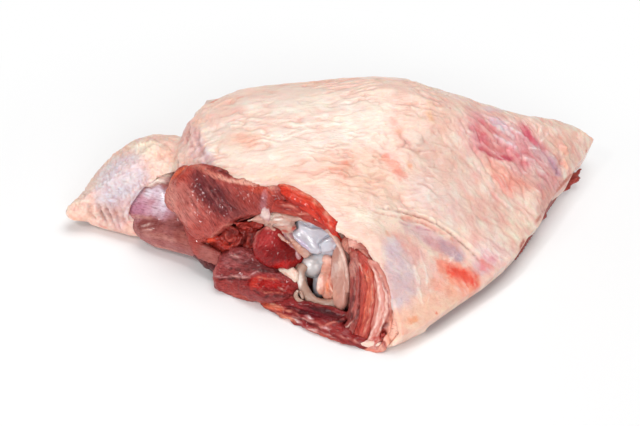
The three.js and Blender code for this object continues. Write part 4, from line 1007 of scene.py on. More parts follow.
OPENING["rim_muscle"] = dict(
    slot="red_muscle", grid=0.45, grow=0.2, base="#E04A33", lumps=0.3, fibres=0.25, streaks=0.3,
    spine=((2, 55), (14, 57), (26, 57), (38, 54.6), (48, 49.5), (58, 43)),
    added=(
        ("strand", ((19, 56.8, -2, 1.2), (22, 57.4, -1, 1.8), (28, 57.4, -0.8, 2.2), (36, 55.8, -0.8, 2.4),
         (42, 52.6, -1, 2.2), (47, 48.8, -1.2, 1.8), (51.4, 44.8, -1.8, 1.4), (55, 41.4, -2.6, 0.9)), 0.8),
    ),
    pulls=(
        ((8, 58, 0), 13, (0, -1.5, -4)),
        ((33, 62, 0), 9, (0, -1.4, -1.6)),
        ((46, 55, 0), 8, (-0.8, -1, -1.6)),
        ((58, 44, 0), 9, (-0.6, -0.6, -3)),
    ),
    patches=(
        ("#EA5A3C", (33, 57.6), (14, 1.3), -10, 0.8, 0.3),
        ("#B42C22", (31, 53.6), (9, 1.1), -6, 0.8, 0.5, -0.3),
        ("#C23326", (45, 50), (8, 1.2), -38, 0.7, 0.4),
        ("#D9705A", (10, 57), (8, 2), 5, 0.8, 0.4),
    ),
    strokes=(("#F7B79C", 0.5, 0.7, 0, 0.2, (10, 58.4), (20, 58.9), (30, 59), (39, 56.8), (46, 53), (53, 47)),),
)
OPENING["round_muscle"] = dict(
    slot="red_muscle", grid=0.5, grow=0.3, base="#A92226", turn=62, lumps=0.5, fibres=0.35, streaks=0.45,
    pulls=(
        ((41, 28, -1), 11, (-5, 0, -2)),
        ((33, 37, 0), 10, (-3, -4, -2)),
        ((30, 17, 0), 7, (0, 2, -0.5)),
        ((12, 36, 0), 6, (1.5, -1, -1)),
    ),
    patches=(
        ("#C24848", (18, 33), (7, 6), 30, 0.8, 0.5, 0.2),
        ("#8E060C", (28, 27), (9, 4.4), 18, 0.95, 0.5, 0.2),
        ("#D27A74", (13.4, 31), (1.6, 7), 18, 0.8, 0.4, 0.2),
        ("#C41812", (31, 22.8), (7, 1.8), 32, 0.95, 0.4, 0.3),
        ("#B02A2C", (19, 25), (4, 4), 0, 0.7, 0.5),
    ),
    strokes=(
        ("#EDB9AC", 0.6, 0.8, 0, 0.2, (12, 25), (12.8, 31), (16.5, 36), (22, 37.6)),
        ("#CF6660", 0.4, 0.4, 0, 0.15, (17, 34), (18, 29.6), (17.4, 26)),
        ("#6E060C", 0.5, 0.6, 0, -0.3, (25.6, 31), (27, 26), (25.6, 21.6)),
    ),
)
OPENING["rolled_muscle"] = dict(
    slot="red_muscle", grid=0.42, grow=0.2, base="#A83A30", turn=75, lumps=1.1, fibres=0.6, streaks=0.6,
    added=(
        ("lump", (0.8, 26, -2.6), (5.4, 4.6, 2.4)),
        ("lump", (9.4, 27.6, -4.6), (3.6, 6.4, 2), -12),
        ("lump", (6, 33.4, -4), (5, 2, 2), 15),
        ("lump", (11.6, 36, -4.4), (3.4, 2.4, 2.2), 20),
        ("strand", ((-4.6, 25.6, -1.8, 0.7), (-3.6, 23, -0.8, 1.1), (-0.6, 21.4, -0.3, 1.3), (3.4, 22.6, -0.6, 1.2),
         (6.2, 25.3, -1.2, 1.1), (6, 28.6, -1.6, 0.8)), 0.8),
        ("strand", ((-1.4, 29.4, -0.8, 0.5), (-1.3, 26.4, -0.1, 0.7), (1.6, 25, 0, 0.8), (3.6, 26.4, -0.3, 0.7),
         (3, 28.4, -0.7, 0.5)), 0.8),
        ("strand", ((-10.8, 20.8, -1.4, 0.5), (-8.2, 22.8, -0.4, 1.4), (-5.6, 23.6, -0.8, 1.6),
         (-3.4, 21.4, -1.2, 1.1)), 0.8),
        ("strand", ((-4.4, 27.8, -2, 0.6), (-2.6, 30.6, -1.4, 0.9), (1.4, 31.2, -1.2, 0.9), (4.6, 30, -1.8, 0.6)), 0.8),
        ("strand", ((0.6, 34.6, -0.6, 0.5), (3.2, 34.2, 0, 0.8), (6.2, 35.6, -0.4, 0.5)), 0.8),
        ("strand", ((5.4, 32.4, -2.4, 0.7), (7.6, 33.8, -1.8, 1), (10.4, 33, -2.4, 0.8), (8.4, 31, -2.6, 0.6)), 0.8),
    ),
    patches=(
        ("#E8562F", (-8, 22.4), (3.4, 2), 40, 0.95, 0.5),
        ("#BF3A2E", (-1, 23), (5.4, 2.6), 5, 0.8, 0.6),
        ("#7E2420", (1, 29), (4, 2), 0, 0.7, 0.7),
        ("#C8564A", (6, 34), (6, 1.6), 15, 0.8, 0.6),
        ("#6E1C1A", (9.6, 28), (3.2, 5), -10, 0.8, 0.6, -0.4),
        ("#B4443C", (9.6, 26.6), (1, 4), -12, 0.6, 0.6),
        ("#7A2422", (8, 22.6), (4, 1.6), 0, 0.7, 0.6, -0.3),
    ),
    strokes=(
        # The pale and bright lines on the curls are painted highlights, and the near-black lines painted shade in the
        # crevices between them.
        ("#E58874", 0.4, 0.8, 0, 0.3, (-1.4, 29), (-1.2, 26.4), (1.5, 25.2), (3.4, 26.6)),
        ("#E0604A", 0.5, 0.7, 0, 0.3, (-3.8, 24), (-1, 22), (2.8, 22.8), (5.6, 25.4)),
        ("#F4B49C", 0.35, 0.7, 0.4, 0.2, (-0.4, 30.8), (2, 30.8)),
        ("#4A0C0C", 0.5, 0.8, 0, -0.6, (-3.6, 26.4), (-2, 24), (1, 23.4), (4, 24.6)),
        ("#4A0C0C", 0.5, 0.7, 0, -0.6, (0, 28.6), (1, 27), (2.6, 27.8)),
        ("#4A0C0C", 0.5, 0.7, 0, -0.5, (6.8, 24.6), (7.4, 28), (6.6, 31)),
        ("#4A0C0C", 0.45, 0.6, 0, -0.5, (11.2, 24), (11.4, 28), (10.6, 31.6)),
        ("#D9705E", 0.4, 0.6, 0, 0.2, (8.8, 24), (9.4, 27.6), (8.8, 30.8)),
    ),
)
OPENING["lower_muscle"] = dict(
    slot="dark_muscle", grid=0.52, grow=0.4, base="#A85050", lumps=0.8, fibres=0.5, streaks=0.55,
    spine=((-3, 9), (8, 11), (20, 13.5), (32, 13), (40, 14)),
    added=(
        ("lump", (23, 7.5, -1), (14, 5.5, 5), 9),
        ("lump", (3, 8, -1), (6, 8, 4.5), 10),
        ("lump", (8.4, 19.4, -1.6), (6.4, 4, 3.4), 5),
    ),
    pulls=(((43, 15, 0), 8, (-3.5, 0, -1.5)),),
    patches=(
        ("#B8120C", (27, 12), (13, 4.6), 10, 1, 0.45, 0.6),
        ("#8A080C", (30, 10), (8, 2), 5, 0.7, 0.6),
        ("#D4402E", (20, 10.5), (2.2, 3), 0, 0.85, 0.5, 0.4),
        ("#6E2529", (16, 18.6), (12, 2.6), 0, 0.75, 0.5),
        ("#BE7676", (5, 17), (6, 3.4), 20, 0.7, 0.5, 0.2),
        ("#C86A66", (-1.2, 6), (1.8, 9), 2, 0.9, 0.5, 0.3),
        ("#B03A38", (3, 3.6), (5, 4), 0, 0.7, 0.6),
        ("#B8504A", (9, 4.6), (9, 3.6), 0, 0.6, 0.5),
        ("#D06A58", (16, 1.6), (14, 1.2), 4, 0.7, 0.4),
        ("#96383A", (8, 10.6), (7, 3), 8, 0.6, 0.5),
    ),
    strokes=(
        # The near-black lines are painted shade in its creases, and the palest lines painted glints of its wet surface.
        ("#4E1719", 0.7, 0.7, 0, -0.5, (4, 12.6), (12, 14.6), (20, 17), (30, 18.5)),
        ("#4E1719", 0.6, 0.7, 0, -0.5, (18, 8), (27, 6.8), (37, 10)),
        ("#4E1719", 0.6, 0.6, 0, -0.4, (2, 17), (8, 18), (14, 17.4)),
        ("#C98C8E", 0.45, 0.4, 0, 0.25, (3.1, 18), (4.6, 20.4), (8.7, 22.2), (12.5, 22.2), (14.3, 20.4),
         (12.1, 18.5), (7.3, 17)),
        ("#D8A4A8", 0.4, 0.45, 0, 0.2, (4.6, 17.5), (6.8, 19.4), (10.4, 20.4), (12.5, 19.8)),
        ("#4E1719", 0.5, 0.7, 0, -0.4, (4, 18.8), (6.4, 20.8), (10.4, 21.4), (13, 21)),
        ("#EFC4C2", 0.45, 0.7, 0, 0.4, (-0.3, 7.7), (4.1, 8.5), (10.7, 11.3), (15.1, 12.2), (17.8, 14.3), (21.7, 16.8)),
        ("#5A1A1E", 0.6, 0.8, 0, -0.6, (-0.3, 6.3), (4.1, 7.1), (10.7, 9.9), (15.1, 10.8), (17.8, 12.9)),
        ("#F0C4BA", 0.4, 0.7, 0, 0.3, (6, 9.5), (12, 11), (17, 12.6)),
        ("#EFBDB2", 0.4, 0.7, 0, 0.3, (3, 19), (7, 20), (10, 19.2)),
        ("#F29A80", 0.4, 0.8, 0, 0.3, (19, 12.8), (24, 14.6), (31, 15.4)),
        ("#F8D0C0", 0.5, 0.8, 0.5, 0.3, (32, 12.8), (35, 12)),
        ("#F4A58C", 0.35, 0.7, 0, 0.2, (24, 9), (30, 9.4), (35, 11)),
    ),
)
OPENING["floor_muscle"] = dict(
    slot="red_muscle", grid=0.52, grow=0.3, base="#A43436", lumps=0.8, fibres=0.6, streaks=0.6,
    spine=((20, 1.5), (32, 3), (46, 4), (58, 4.6), (68, 5), (78, 3), (86, 1)),
    added=(
        ("strand", ((22, 2.6, -3, 1.6), (33, 4.4, -1.2, 2.4), (42, 6.2, -1.4, 2.6), (52, 7.8, -2, 2.6),
         (62, 8.6, -2.4, 2.4), (68, 9, -3, 2))),
        ("strand", ((24, 1.4, -0.5, 1), (34, 1.6, 0.8, 1.9), (44, 2.2, 1.4, 2.2), (54, 3, 1.6, 2.4),
         (64, 3.4, 1.4, 2.6), (72, 3, 0.4, 2.2))),
        ("strand", ((42, 0.8, 0.8, 1.8), (52, 0.6, 2, 2.6), (62, 0.8, 2.4, 2.8), (70, 0.8, 2.2, 2.8),
         (78, 1, 1.4, 2.4), (84, 1, 0, 1.8))),
        ("strand", ((55, 1.4, 2.6, 0.8), (61, 4.4, 2.2, 1.1), (67, 8.4, 0, 1.1))),
        ("lump", (38, 0.2, 1.6), (2.4, 1.1, 1.4), 20),
        ("lump", (44, -0.4, 2.2), (2.2, 1.2, 1.4), -15),
    ),
    patches=(
        ("#EE8262", (31, 2.4), (7, 1.9), 8, 0.9, 0.5),
        ("#F2A183", (40, 0.4), (6, 1.5), 0, 0.9, 0.6),
        ("#5A0E1A", (56, 8.6), (13, 2), 3, 0.95, 0.4, -0.3),
        ("#8A2A3A", (52, 6), (12, 1.6), 4, 0.7, 0.5),
        ("#C05A54", (60, 3.5), (10, 1.4), 0, 0.6, 0.6, 0.3),
        ("#D9705C", (62, -1.4), (12, 1.2), 0, 0.7, 0.6),
        ("#8A3038", (50, 2.4), (8, 1), 4, 0.6, 0.6),
    ),
    strokes=(
        # The short near-white strokes are painted glints of its wet surface, and the near-black lines painted shade in
        # its crevices.
        ("#F8CDB4", 0.5, 0.8, 0.5, 0.3, (28, 3.8), (33, 3.6)),
        ("#F0AC96", 0.45, 0.7, 0, 0.3, (30, 2.6), (38, 3.8), (46, 4.4)),
        ("#E39A8C", 0.7, 0.8, 0, 0.5, (56, 1.6), (61, 4.6), (67, 8.6)),
        ("#F2C4B8", 0.4, 0.7, 0, 0.3, (42, 1.6), (50, 3), (57, 3.4)),
        ("#F6D3CA", 0.4, 0.7, 0, 0.3, (50, -0.6), (57, 0.6), (62, 0.4)),
        ("#FBE6E4", 0.5, 0.9, 0.5, 0.4, (43, 1), (48.2, 0.6)),
        ("#FBE6E4", 0.45, 0.9, 0.5, 0.4, (48.9, 4.2), (53.6, 4.4)),
        ("#F8D8D4", 0.7, 0.9, 0.5, 0.4, (53.4, 0.1), (57.7, -0.8)),
        ("#F6D4D4", 0.5, 0.9, 0.5, 0.4, (58.8, 3.2), (63.1, 3)),
        ("#F2C4BC", 0.5, 0.8, 0.5, 0.3, (61, 0.2), (66.3, 0.1)),
        ("#5A0E1A", 1, 0.9, 0.5, -0.4, (62.7, 7.6), (69.5, 6.6)),
        ("#4E1018", 0.5, 0.7, 0, -0.5, (36, 5.4), (48, 5.2), (58, 6)),
        ("#4E1018", 0.5, 0.6, 0, -0.5, (44, 2.4), (52, 2), (62, 2)),
        ("#F2B8A8", 0.4, 0.6, 0, 0.3, (66, 2), (72, 1.2), (78, 1.6)),
    ),
)
OPENING["under_muscle"] = dict(
    slot="dark_muscle", grid=0.8, grow=0.3, base="#6A2A2E", turn=-20, lumps=0.5, fibres=0.4, streaks=0.4,
    pulls=(((-20, 7, 0), 34, (2, 4.5, -3)),),
    patches=(("#8A4444", (-16, 12), (8, 2), -20, 0.7, 0.5),),
)
OPENING["flap_inner"] = dict(
    slot="dark_muscle", grid=0.5, grow=0.4, base="#B96058", lumps=0.5, fibres=0.4, streaks=0.6,
    spine=((62, 40), (67, 33), (70, 26), (71.6, 18), (72, 10), (71, 3), (68, -1)),
    added=(
        ("slab", ((62, 39), (63.2, 31.2), (66, 24.4), (68, 14), (68.8, 8.6), (67.4, 4.7), (64, 0), (67, -1.6),
         (73, -1.6), (73.4, 5.2), (73.8, 13.2), (72, 21.4), (70.6, 28.3), (68, 36.2),
         (65, 41)), -1.2, 4.4, 1.4, (0, -6)),
        ("lump", (59.6, 41, -3.6), (5, 2.6, 3), -38),
    ),
    patches=(
        ("#D49C90", (65.4, 33.6), (3, 9), -20, 0.8, 0.5),
        ("#DC9A88", (59.6, 41.4), (5.4, 3), -38, 0.95, 0.3),
        ("#7E3238", (68.6, 17), (1.6, 9), 4, 0.7, 0.6),
        ("#8E3A3A", (70, 8), (2.4, 6), 8, 0.6, 0.6),
    ),
    strokes=(
        ("#8E2A22", 0.6, 0.8, 0, -0.3, (60.6, 42), (62.2, 36), (63.4, 31), (65.6, 24.6)),
        ("#E9BDB0", 0.4, 0.6, 0, 0.3, (65, 36), (67.6, 29), (69.2, 21), (70, 13)),
        ("#5E1C1E", 0.5, 0.7, 0, -0.4, (66.4, 31), (68.6, 24), (69.8, 16), (70.4, 8)),
        ("#F4D2C6", 0.5, 0.8, 0.5, 0.3, (72, 10.4), (70.6, 7), (68, 3.6), (66.4, 0.6)),
        ("#E2A79C", 0.4, 0.6, 0, 0.3, (71.6, 16), (72, 9), (71, 2)),
        ("#5E1C1E", 0.5, 0.6, 0, -0.4, (71.4, 24), (72.6, 15), (72.6, 6)),
    ),
)
OPENING["flap_muscle"] = dict(
    slot="red_muscle", grid=0.5, grow=0.4, base="#CB6256", lumps=0.4, fibres=0.4, streaks=0.5,
    spine=((66, 40), (72, 34), (75.4, 27), (77, 19), (77.2, 11), (76.4, 4), (75, -2)),
    added=(
        ("slab", ((65, 41), (68, 36.2), (70.6, 28.3), (72, 21.4), (73.8, 13.2), (73.4, 5.2), (73, -1.6),
         (79.6, -1.4), (80.2, 8.3), (80.2, 15.1), (79.4, 22.5), (78, 28), (75.6, 33.4),
         (71, 39)), -0.8, 4.6, 1.4, (0, -4)),
    ),
    patches=(
        ("#DC4A38", (71, 34), (2.6, 2.4), -40, 0.8, 0.5, 0.2),
        ("#E0604A", (75.6, 20), (1.3, 15), 6, 0.8, 0.5, 0.2),
        ("#EE8E72", (77.4, 22), (1.4, 8), 8, 0.7, 0.5, 0.2),
        ("#C04438", (75, 8), (2, 8), 0, 0.6, 0.5),
        ("#EE8A6A", (74, 31.6), (2, 4), -28, 0.6, 0.5),
    ),
    strokes=(
        # The near-white ragged stroke is painted glints on its bright red top.
        ("#FBDCCB", 0.45, 0.8, 0.5, 0.3, (66.4, 36.8), (69, 35.2), (71.4, 32.4)),
        ("#F6BEA6", 0.4, 0.7, 0, 0.3, (72, 37), (76, 30.4), (78.4, 22), (79, 13), (78.2, 4)),
        ("#A3342A", 0.5, 0.7, 0, -0.4, (69.6, 37), (73.2, 30), (75, 21), (75.6, 11), (75, 3)),
        ("#F3A98C", 0.4, 0.6, 0, 0.3, (70.4, 36.4), (74.6, 28.6), (76.6, 19), (76.8, 9)),
    ),
)
OPENING["flap_fascia"] = dict(
    slot="fascia", grid=0.48, grow=0.3, base="#D08476", lumps=0.3, fibres=0.45, streaks=0.5,
    spine=((70, 40), (77, 34), (81.4, 27), (83.6, 19), (83.6, 11), (81.6, 4), (78, -2)),
    added=(
        ("slab", ((71, 39), (75.6, 33.4), (78, 28), (79.4, 22.5), (80.2, 15.1), (80.2, 8.3), (79.6, -1.4),
         (82.4, -1), (85.6, 3.5), (87.4, 11), (87.8, 20), (86, 26.4), (81.6, 33.6), (76, 39)), -0.6, 4.4, 1.3, (0, 4)),
        ("slab", ((78, -2), (82, 0.6), (84, 3.6), (86.4, 6.6), (88.8, 8.6), (90.6, 5), (89.6, 1), (86, -1),
         (81, -2)), 0.2, 4, 1.3, (0, 6)),
    ),
    patches=(
        ("#D9897C", (81.4, 12), (1.4, 9), 4, 0.7, 0.5),
        ("#F0BFB0", (85, 20), (1.4, 8), -10, 0.6, 0.4),
        ("#F2B4A2", (87, 4), (3, 3), 30, 0.8, 0.4),
        ("#E98670", (84, -0.4), (5, 1.2), 8, 0.8, 0.5),
        ("#F0B09A", (90.4, 8), (3, 14), 4, 1, 0.2),
    ),
    strokes=(
        ("#FBE3D9", 0.4, 0.8, 0, 0.35, (75, 37), (80, 29.6), (82.4, 21), (82.6, 12), (80.6, 3)),
        ("#C05A4E", 0.45, 0.8, 0, -0.45, (73, 37.4), (78.2, 29.6), (80.8, 21), (81.2, 12), (79.6, 3.6)),
        ("#C96A5E", 0.4, 0.7, 0, -0.4, (77, 36.4), (82, 29), (84.6, 20), (84.4, 11), (82, 3.6)),
        ("#FBE3D9", 0.4, 0.7, 0, 0.3, (78.6, 35.4), (83.6, 27.6), (86, 19), (85.6, 10.6), (83.4, 4.6)),
        ("#F3C9BC", 0.35, 0.6, 0, 0.2, (76, 35), (81, 26.6), (83.2, 18), (83, 9.6)),
        # The darkest stroke is painted shade in the slit at the folded corner.
        ("#7A1B18", 1.3, 1, 0.2, -1.6, (87.6, 15), (87, 11), (86.6, 6), (85.6, 2.4)),
        ("#A02A22", 1.1, 0.9, 0.3, -0.8, (84.6, 2.4), (87.2, 5.2), (89, 4.4), (89.8, 1.4)),
        ("#B83A30", 1.6, 0.8, 0.6, -0.3, (82, 3), (85, 6.4), (87.6, 10)),
        ("#8E2A22", 0.45, 0.8, 0, -0.4, (74.3, 38.6), (80, 33.4), (85, 26.6), (87.2, 20), (87, 12)),
    ),
)
OPENING["fascia"] = dict(
    slot="fascia", grid=0.5, grow=0.4, base="#C48F80", lumps=0.4, fibres=0.3, streaks=0.2,
    spine=((56, 42), (59, 32), (61, 22), (61, 12)),
    added=(
        ("slab", ((52.4, 42), (55.8, 39.4), (59.4, 33), (62, 26), (63.4, 20.6), (64, 14), (62.6, 9.5), (58.6, 11),
         (56, 15.5), (53.6, 21), (52.2, 25.5), (51, 30), (50.6, 34.2), (51.2, 38)), -7.2, 4, 1.6, (0, -18)),
        ("strand", ((44.6, 47.2, -3, 0.9), (49.5, 44, -2.6, 1), (53.2, 41.8, -2.4, 1), (56.8, 37.6, -2.6, 0.9),
         (59.8, 32.6, -3, 0.8), (62.4, 26, -3.4, 0.8), (64, 20, -3.6, 0.8))),
    ),
    patches=(
        ("#DDB5A6", (57, 31), (3, 8), -16, 0.8, 0.4),
        ("#C98E7E", (61, 14), (3, 6), 0, 0.7, 0.5),
        ("#D8BDB4", (54, 27), (2, 5), -10, 0.7, 0.4),
        ("#EAA88E", (57, 16), (3, 3), 0, 0.5, 0.6),
    ),
    strokes=(
        ("#F4DCCF", 0.6, 0.8, 0, 0.2, (44.6, 47.2), (49.5, 44), (53.2, 41.8), (56.8, 37.6), (59.8, 32.6), (62.4, 26)),
        ("#A8705F", 0.5, 0.5, 0, -0.3, (53.4, 24.6), (56, 24.2), (59, 25)),
        ("#F2D9CC", 0.6, 0.6, 0, 0.25, (54.6, 38), (56.4, 30), (57, 22)),
        ("#B04A38", 0.5, 0.7, 0, -0.3, (52, 30), (53.4, 27)),
    ),
)
OPENING["joint_fat"] = dict(
    slot="fat", grid=0.46, grow=0.3, base="#C29A8C", turn=25, lumps=0.9, fibres=0.6, streaks=0.25,
    added=(
        ("slab", ((9, 37.4), (11.6, 40), (13, 43), (16, 45.4), (21, 45.6), (30, 47), (36.3, 49.4), (41.4, 49.2),
         (46.1, 47.8), (51, 44.6), (49, 43.6), (44.6, 45), (39.2, 46), (33, 45), (30, 43.6), (29.4, 42),
         (31.4, 40.2), (30, 38), (28.4, 36.8), (27, 37), (25.6, 35.2), (22.4, 35.3), (18.5, 37.6),
         (14.7, 37.6)), -3.4, 4, 1.2, (8, 0)),
        ("slab", ((26, 36.4), (29, 36.8), (30.4, 35), (35.7, 32.8), (39.7, 31.8), (41, 30), (38.4, 28.2),
         (34.5, 29.4), (31, 32.4), (27, 34.6)), -5.6, 4.2, 1.2, (0, 8)),
        ("lump", (17, 41.5, -2), (4, 2.4, 2), 10),
        ("lump", (24, 42, -2.2), (3.4, 2.6, 2), -20),
        ("strand", ((8.6, 37.4, 0.6, 0.3), (11.5, 39, -0.4, 0.8), (14, 40.6, -1.2, 1.5))),
        ("strand", ((13, 38.6, -1, 0.4), (16, 41, 0.2, 0.8), (19, 43.4, 0.2, 0.6))),
        ("strand", ((14.6, 42.6, 0, 0.4), (18.6, 40.6, 0.2, 0.7), (23, 41, -0.4, 0.5))),
        ("strand", ((20, 38.4, -1, 0.4), (22, 41.6, 0.1, 0.8), (25.6, 43.6, -0.4, 0.5))),
        ("strand", ((17, 38, -1.6, 0.6), (22, 37, -0.4, 0.9), (27, 34.6, -1, 0.8), (31, 33, -1.6, 0.5))),
    ),
    patches=(
        ("#E3CABC", (22, 43), (7, 2.4), 10, 0.7, 0.6, 0.2),
        ("#E3C0B4", (36, 47.4), (8, 1.6), -8, 0.8, 0.4),
        ("#D9A89A", (14, 39.4), (4, 2), 20, 0.7, 0.6),
        ("#C9937E", (34, 31.6), (6, 1.8), -28, 0.85, 0.5),
        ("#C63A2C", (27, 37.4), (2.2, 0.7), 25, 0.85, 0.6, -0.4),
        ("#C63A2C", (31.2, 40), (0.8, 1.8), 10, 0.85, 0.5, -0.4),
        ("#CC4A3C", (43, 44.8), (3.4, 0.8), 14, 0.8, 0.5, -0.3),
        ("#DFA090", (26, 39.6), (3, 1), 30, 0.6, 0.6),
    ),
    strokes=(
        ("#C98A78", 0.5, 0.7, 0, -0.5, (14, 40.4), (20, 40.6), (26, 42.6)),
        ("#FFF8F0", 0.5, 0.8, 0, 0.4, (17, 43.6), (22, 42.4), (27, 43.4)),
        ("#FFF8F0", 0.45, 0.7, 0, 0.4, (20, 39), (24, 40.2), (28, 41.6)),
        ("#E3A48F", 0.6, 0.6, 0, -0.3, (24, 46.2), (32, 47.6), (40, 49)),
        ("#F3CFBE", 0.5, 0.8, 0, 0.3, (27, 36.6), (31, 34.2), (37, 32.2)),
        ("#B0604E", 0.45, 0.7, 0, -0.4, (27.4, 35.2), (31.6, 32.6), (36, 30)),
    ),
)
OPENING["tendon_band"] = dict(
    slot="tendon", grid=0.42, grow=0.1, base="#BE8A8C", turn=80, lumps=0.3, fibres=0.3, streaks=0.2,
    added=(
        ("strand", ((12.6, 54.8, 0, 0.9), (14.8, 52.6, 1.4, 1.7), (16.3, 50, 2.2, 2), (17, 46.6, 2.1, 2.1),
         (17.2, 43.4, 1.3, 2.8), (16.4, 41, 0, 3.2)), 0.3),
    ),
    patches=(("#B98C9A", (16.6, 50), (1.6, 4), -5, 0.85, 0.4), ("#EBD5CC", (17, 43.6), (3, 3), 20, 0.8, 0.4)),
    strokes=(("#EBC9CC", 0.4, 0.6, 0, 0.2, (15.4, 55), (17, 50), (16.6, 44)),),
)
OPENING["joint_cartilage"] = dict(
    slot="cartilage", grid=0.4, grow=0.2, base="#C2BEC6", turn=0, lumps=0.15, fibres=0, streaks=0,
    added=(
        ("slab", ((29.4, 43.6), (32, 42.8), (37.5, 42.2), (42.1, 43.8), (45.8, 44.2), (48.8, 43.2), (44, 38),
         (43.6, 36.4), (45.6, 33.2), (44, 31.2), (40.8, 30.6), (34.7, 32.2), (28.8, 34.8), (28.2, 36.9),
         (31.2, 39.8)), -8.2, 5, 1.6, (-10, 4)),
        ("slab", ((44.4, 38), (49, 42.9), (51, 41.4), (52.8, 40.8), (51.4, 36), (49, 34.2), (45.9, 32.8),
         (43.9, 36.4)), -7.6, 5, 1.4, (-4, 12)),
        ("slab", ((29, 43.8), (32.4, 45.4), (37.4, 45.8), (43, 45.4), (47, 45), (42, 43.9), (37, 42.5),
         (31.9, 43)), -8.6, 5, 1.2, (-22, 0)),
    ),
    patches=(
        ("#C9B4CF", (36, 34), (5, 1.6), -22, 0.8, 0.4),
        ("#DCDAE2", (36, 40), (6, 2.4), -10, 0.8, 0.4, 0.1),
        ("#DDE0E8", (47.6, 37), (3, 3), 10, 0.6, 0.3),
        ("#B9A0B4", (44, 43.6), (3, 0.8), 5, 0.6, 0.4),
    ),
    strokes=(
        # The grey lines are painted shade in the cracks between its facets.
        ("#A9A9B8", 0.4, 0.8, 0, -0.5, (32.8, 42.8), (37.9, 42.4), (42.5, 44)),
        ("#9EA0B0", 0.4, 0.8, 0, -0.5, (44, 38), (46.4, 40.4), (49, 43)),
        ("#9EA0B0", 0.4, 0.8, 0, -0.5, (43.5, 37.4), (44, 35.6), (45.8, 33.6)),
        ("#B9BCC8", 0.35, 0.5, 0, -0.3, (44.6, 38.2), (47.4, 39), (50.4, 40.6)),
        ("#8E6A88", 0.45, 0.5, 0, -0.2, (34.6, 34.6), (37, 33.2), (39, 32.6)),
        ("#B82A22", 0.9, 0.9, 0.4, -0.2, (49.8, 40.4), (51.4, 39)),
        ("#C84A3C", 0.6, 0.8, 0.4, -0.2, (50.6, 36.4), (50.8, 34.6)),
    ),
)
OPENING["femur"] = dict(
    slot="bone", grid=0.6, grow=0.3, base="#C2BCBC", turn=0, lumps=0.15, fibres=0, streaks=0,
    added=(
        ("lump", (41.2, 24.6, -11.4), (6, 5.8, 5)),
        ("lump", (44.6, 29, -12.4), (5, 4, 4), 10),
        ("lump", (45.6, 15.6, -13.4), (3.4, 6.6, 3), 8),
    ),
    patches=(
        # The white patch is a painted highlight on the knob, the grey one on its right side painted shade, and the dark
        # grey line painted shade under the knob.
        ("#F2EFEF", (39.4, 25), (3, 2.6), 0, 0.8, 0.3),
        ("#B4B4BA", (47.4, 25), (2.6, 5), 0, 0.8, 0.4),
        ("#A8ABB4", (45.6, 15), (4, 6), 0, 0.85, 0.3),
        ("#C2C4CC", (43, 30), (5, 1.4), -10, 0.6, 0.4),
    ),
    strokes=(("#8E9098", 0.6, 0.5, 0, -0.3, (43, 19.8), (46, 21), (47.6, 24)),),
)
OPENING["tendon_loop"] = dict(
    slot="tendon", grid=0.42, grow=0.3, base="#B08E7E", turn=0, lumps=0.3, fibres=0.15, streaks=0.1,
    added=(
        ("strand", ((38.6, 24, -7, 2), (37.8, 20.4, -5.6, 2.2), (40.4, 15.6, -4.8, 2.1), (44.4, 11.4, -4.6, 2.3),
         (50, 9, -5, 2.6), (56, 10.2, -6.4, 2.6), (60.5, 13.4, -8, 2.2)), 0.9),
        ("strand", ((40.2, 13, -1.6, 0.5), (40.2, 10.8, -0.8, 0.8), (42.2, 9, -0.8, 0.9), (44.6, 8.8, -1.4, 0.6))),
        ("strand", ((41.4, 13, -1.8, 0.4), (42.8, 11.8, -1.4, 0.6), (43.6, 10.2, -1.6, 0.5))),
    ),
    # The near-white patch is a painted highlight on the loop's left side.
    patches=(("#F2E8E0", (39.4, 17), (1.8, 5), 15, 0.9, 0.3), ("#C9A08C", (54, 9), (5, 1.4), 5, 0.7, 0.5)),
    strokes=(("#B59484", 0.6, 0.5, 0, 0, (36, 19), (38.6, 14.4), (43, 9.8), (50, 6.8)),),
)
OPENING["fat_lobe"] = dict(
    slot="fat", grid=0.4, grow=0.3, base="#E0A08C", turn=-70, lumps=0.6, fibres=0.4, streaks=0.25,
    added=(
        ("lump", (49.4, 18.8, -6.6), (2.3, 5.4, 2.6), 4),
        ("lump", (54, 18.6, -6.6), (2, 4.4, 2), 38),
        ("lump", (58, 14.8, -7.2), (1.9, 4, 1.8), 42),
        ("lump", (48.8, 29.4, -8.6), (3, 2.4, 2.2), -30),
    ),
    pulls=(((51, 27, -6), 5, (0.5, -1, -3)),),
    patches=(
        ("#FADFD2", (48.6, 19.4), (1.6, 4.6), 4, 0.85, 0.4, 0.2),
        ("#F08A5E", (52.4, 18), (1.2, 4), 10, 0.85, 0.5),
        ("#C24A34", (56.2, 18), (3.6, 2.4), -60, 0.95, 0.6, -0.2),
        ("#F29A70", (58, 14), (2.8, 1.6), -50, 0.7, 0.5),
        ("#C8503E", (51.8, 24), (0.8, 2.6), 0, 0.7, 0.5),
        ("#F3C9BA", (49, 30), (3, 2.4), 0, 0.7, 0.5),
    ),
    strokes=(
        ("#FCE0C8", 0.35, 0.8, 0, 0.4, (53.4, 20.6), (55.4, 17.6), (57.4, 16.6)),
        ("#FCE0C8", 0.35, 0.8, 0, 0.4, (54.4, 18), (56.4, 15), (59.4, 13)),
        ("#D9573B", 0.4, 0.7, 0, -0.3, (52.8, 21), (53.8, 17), (56.6, 13.4)),
    ),
)
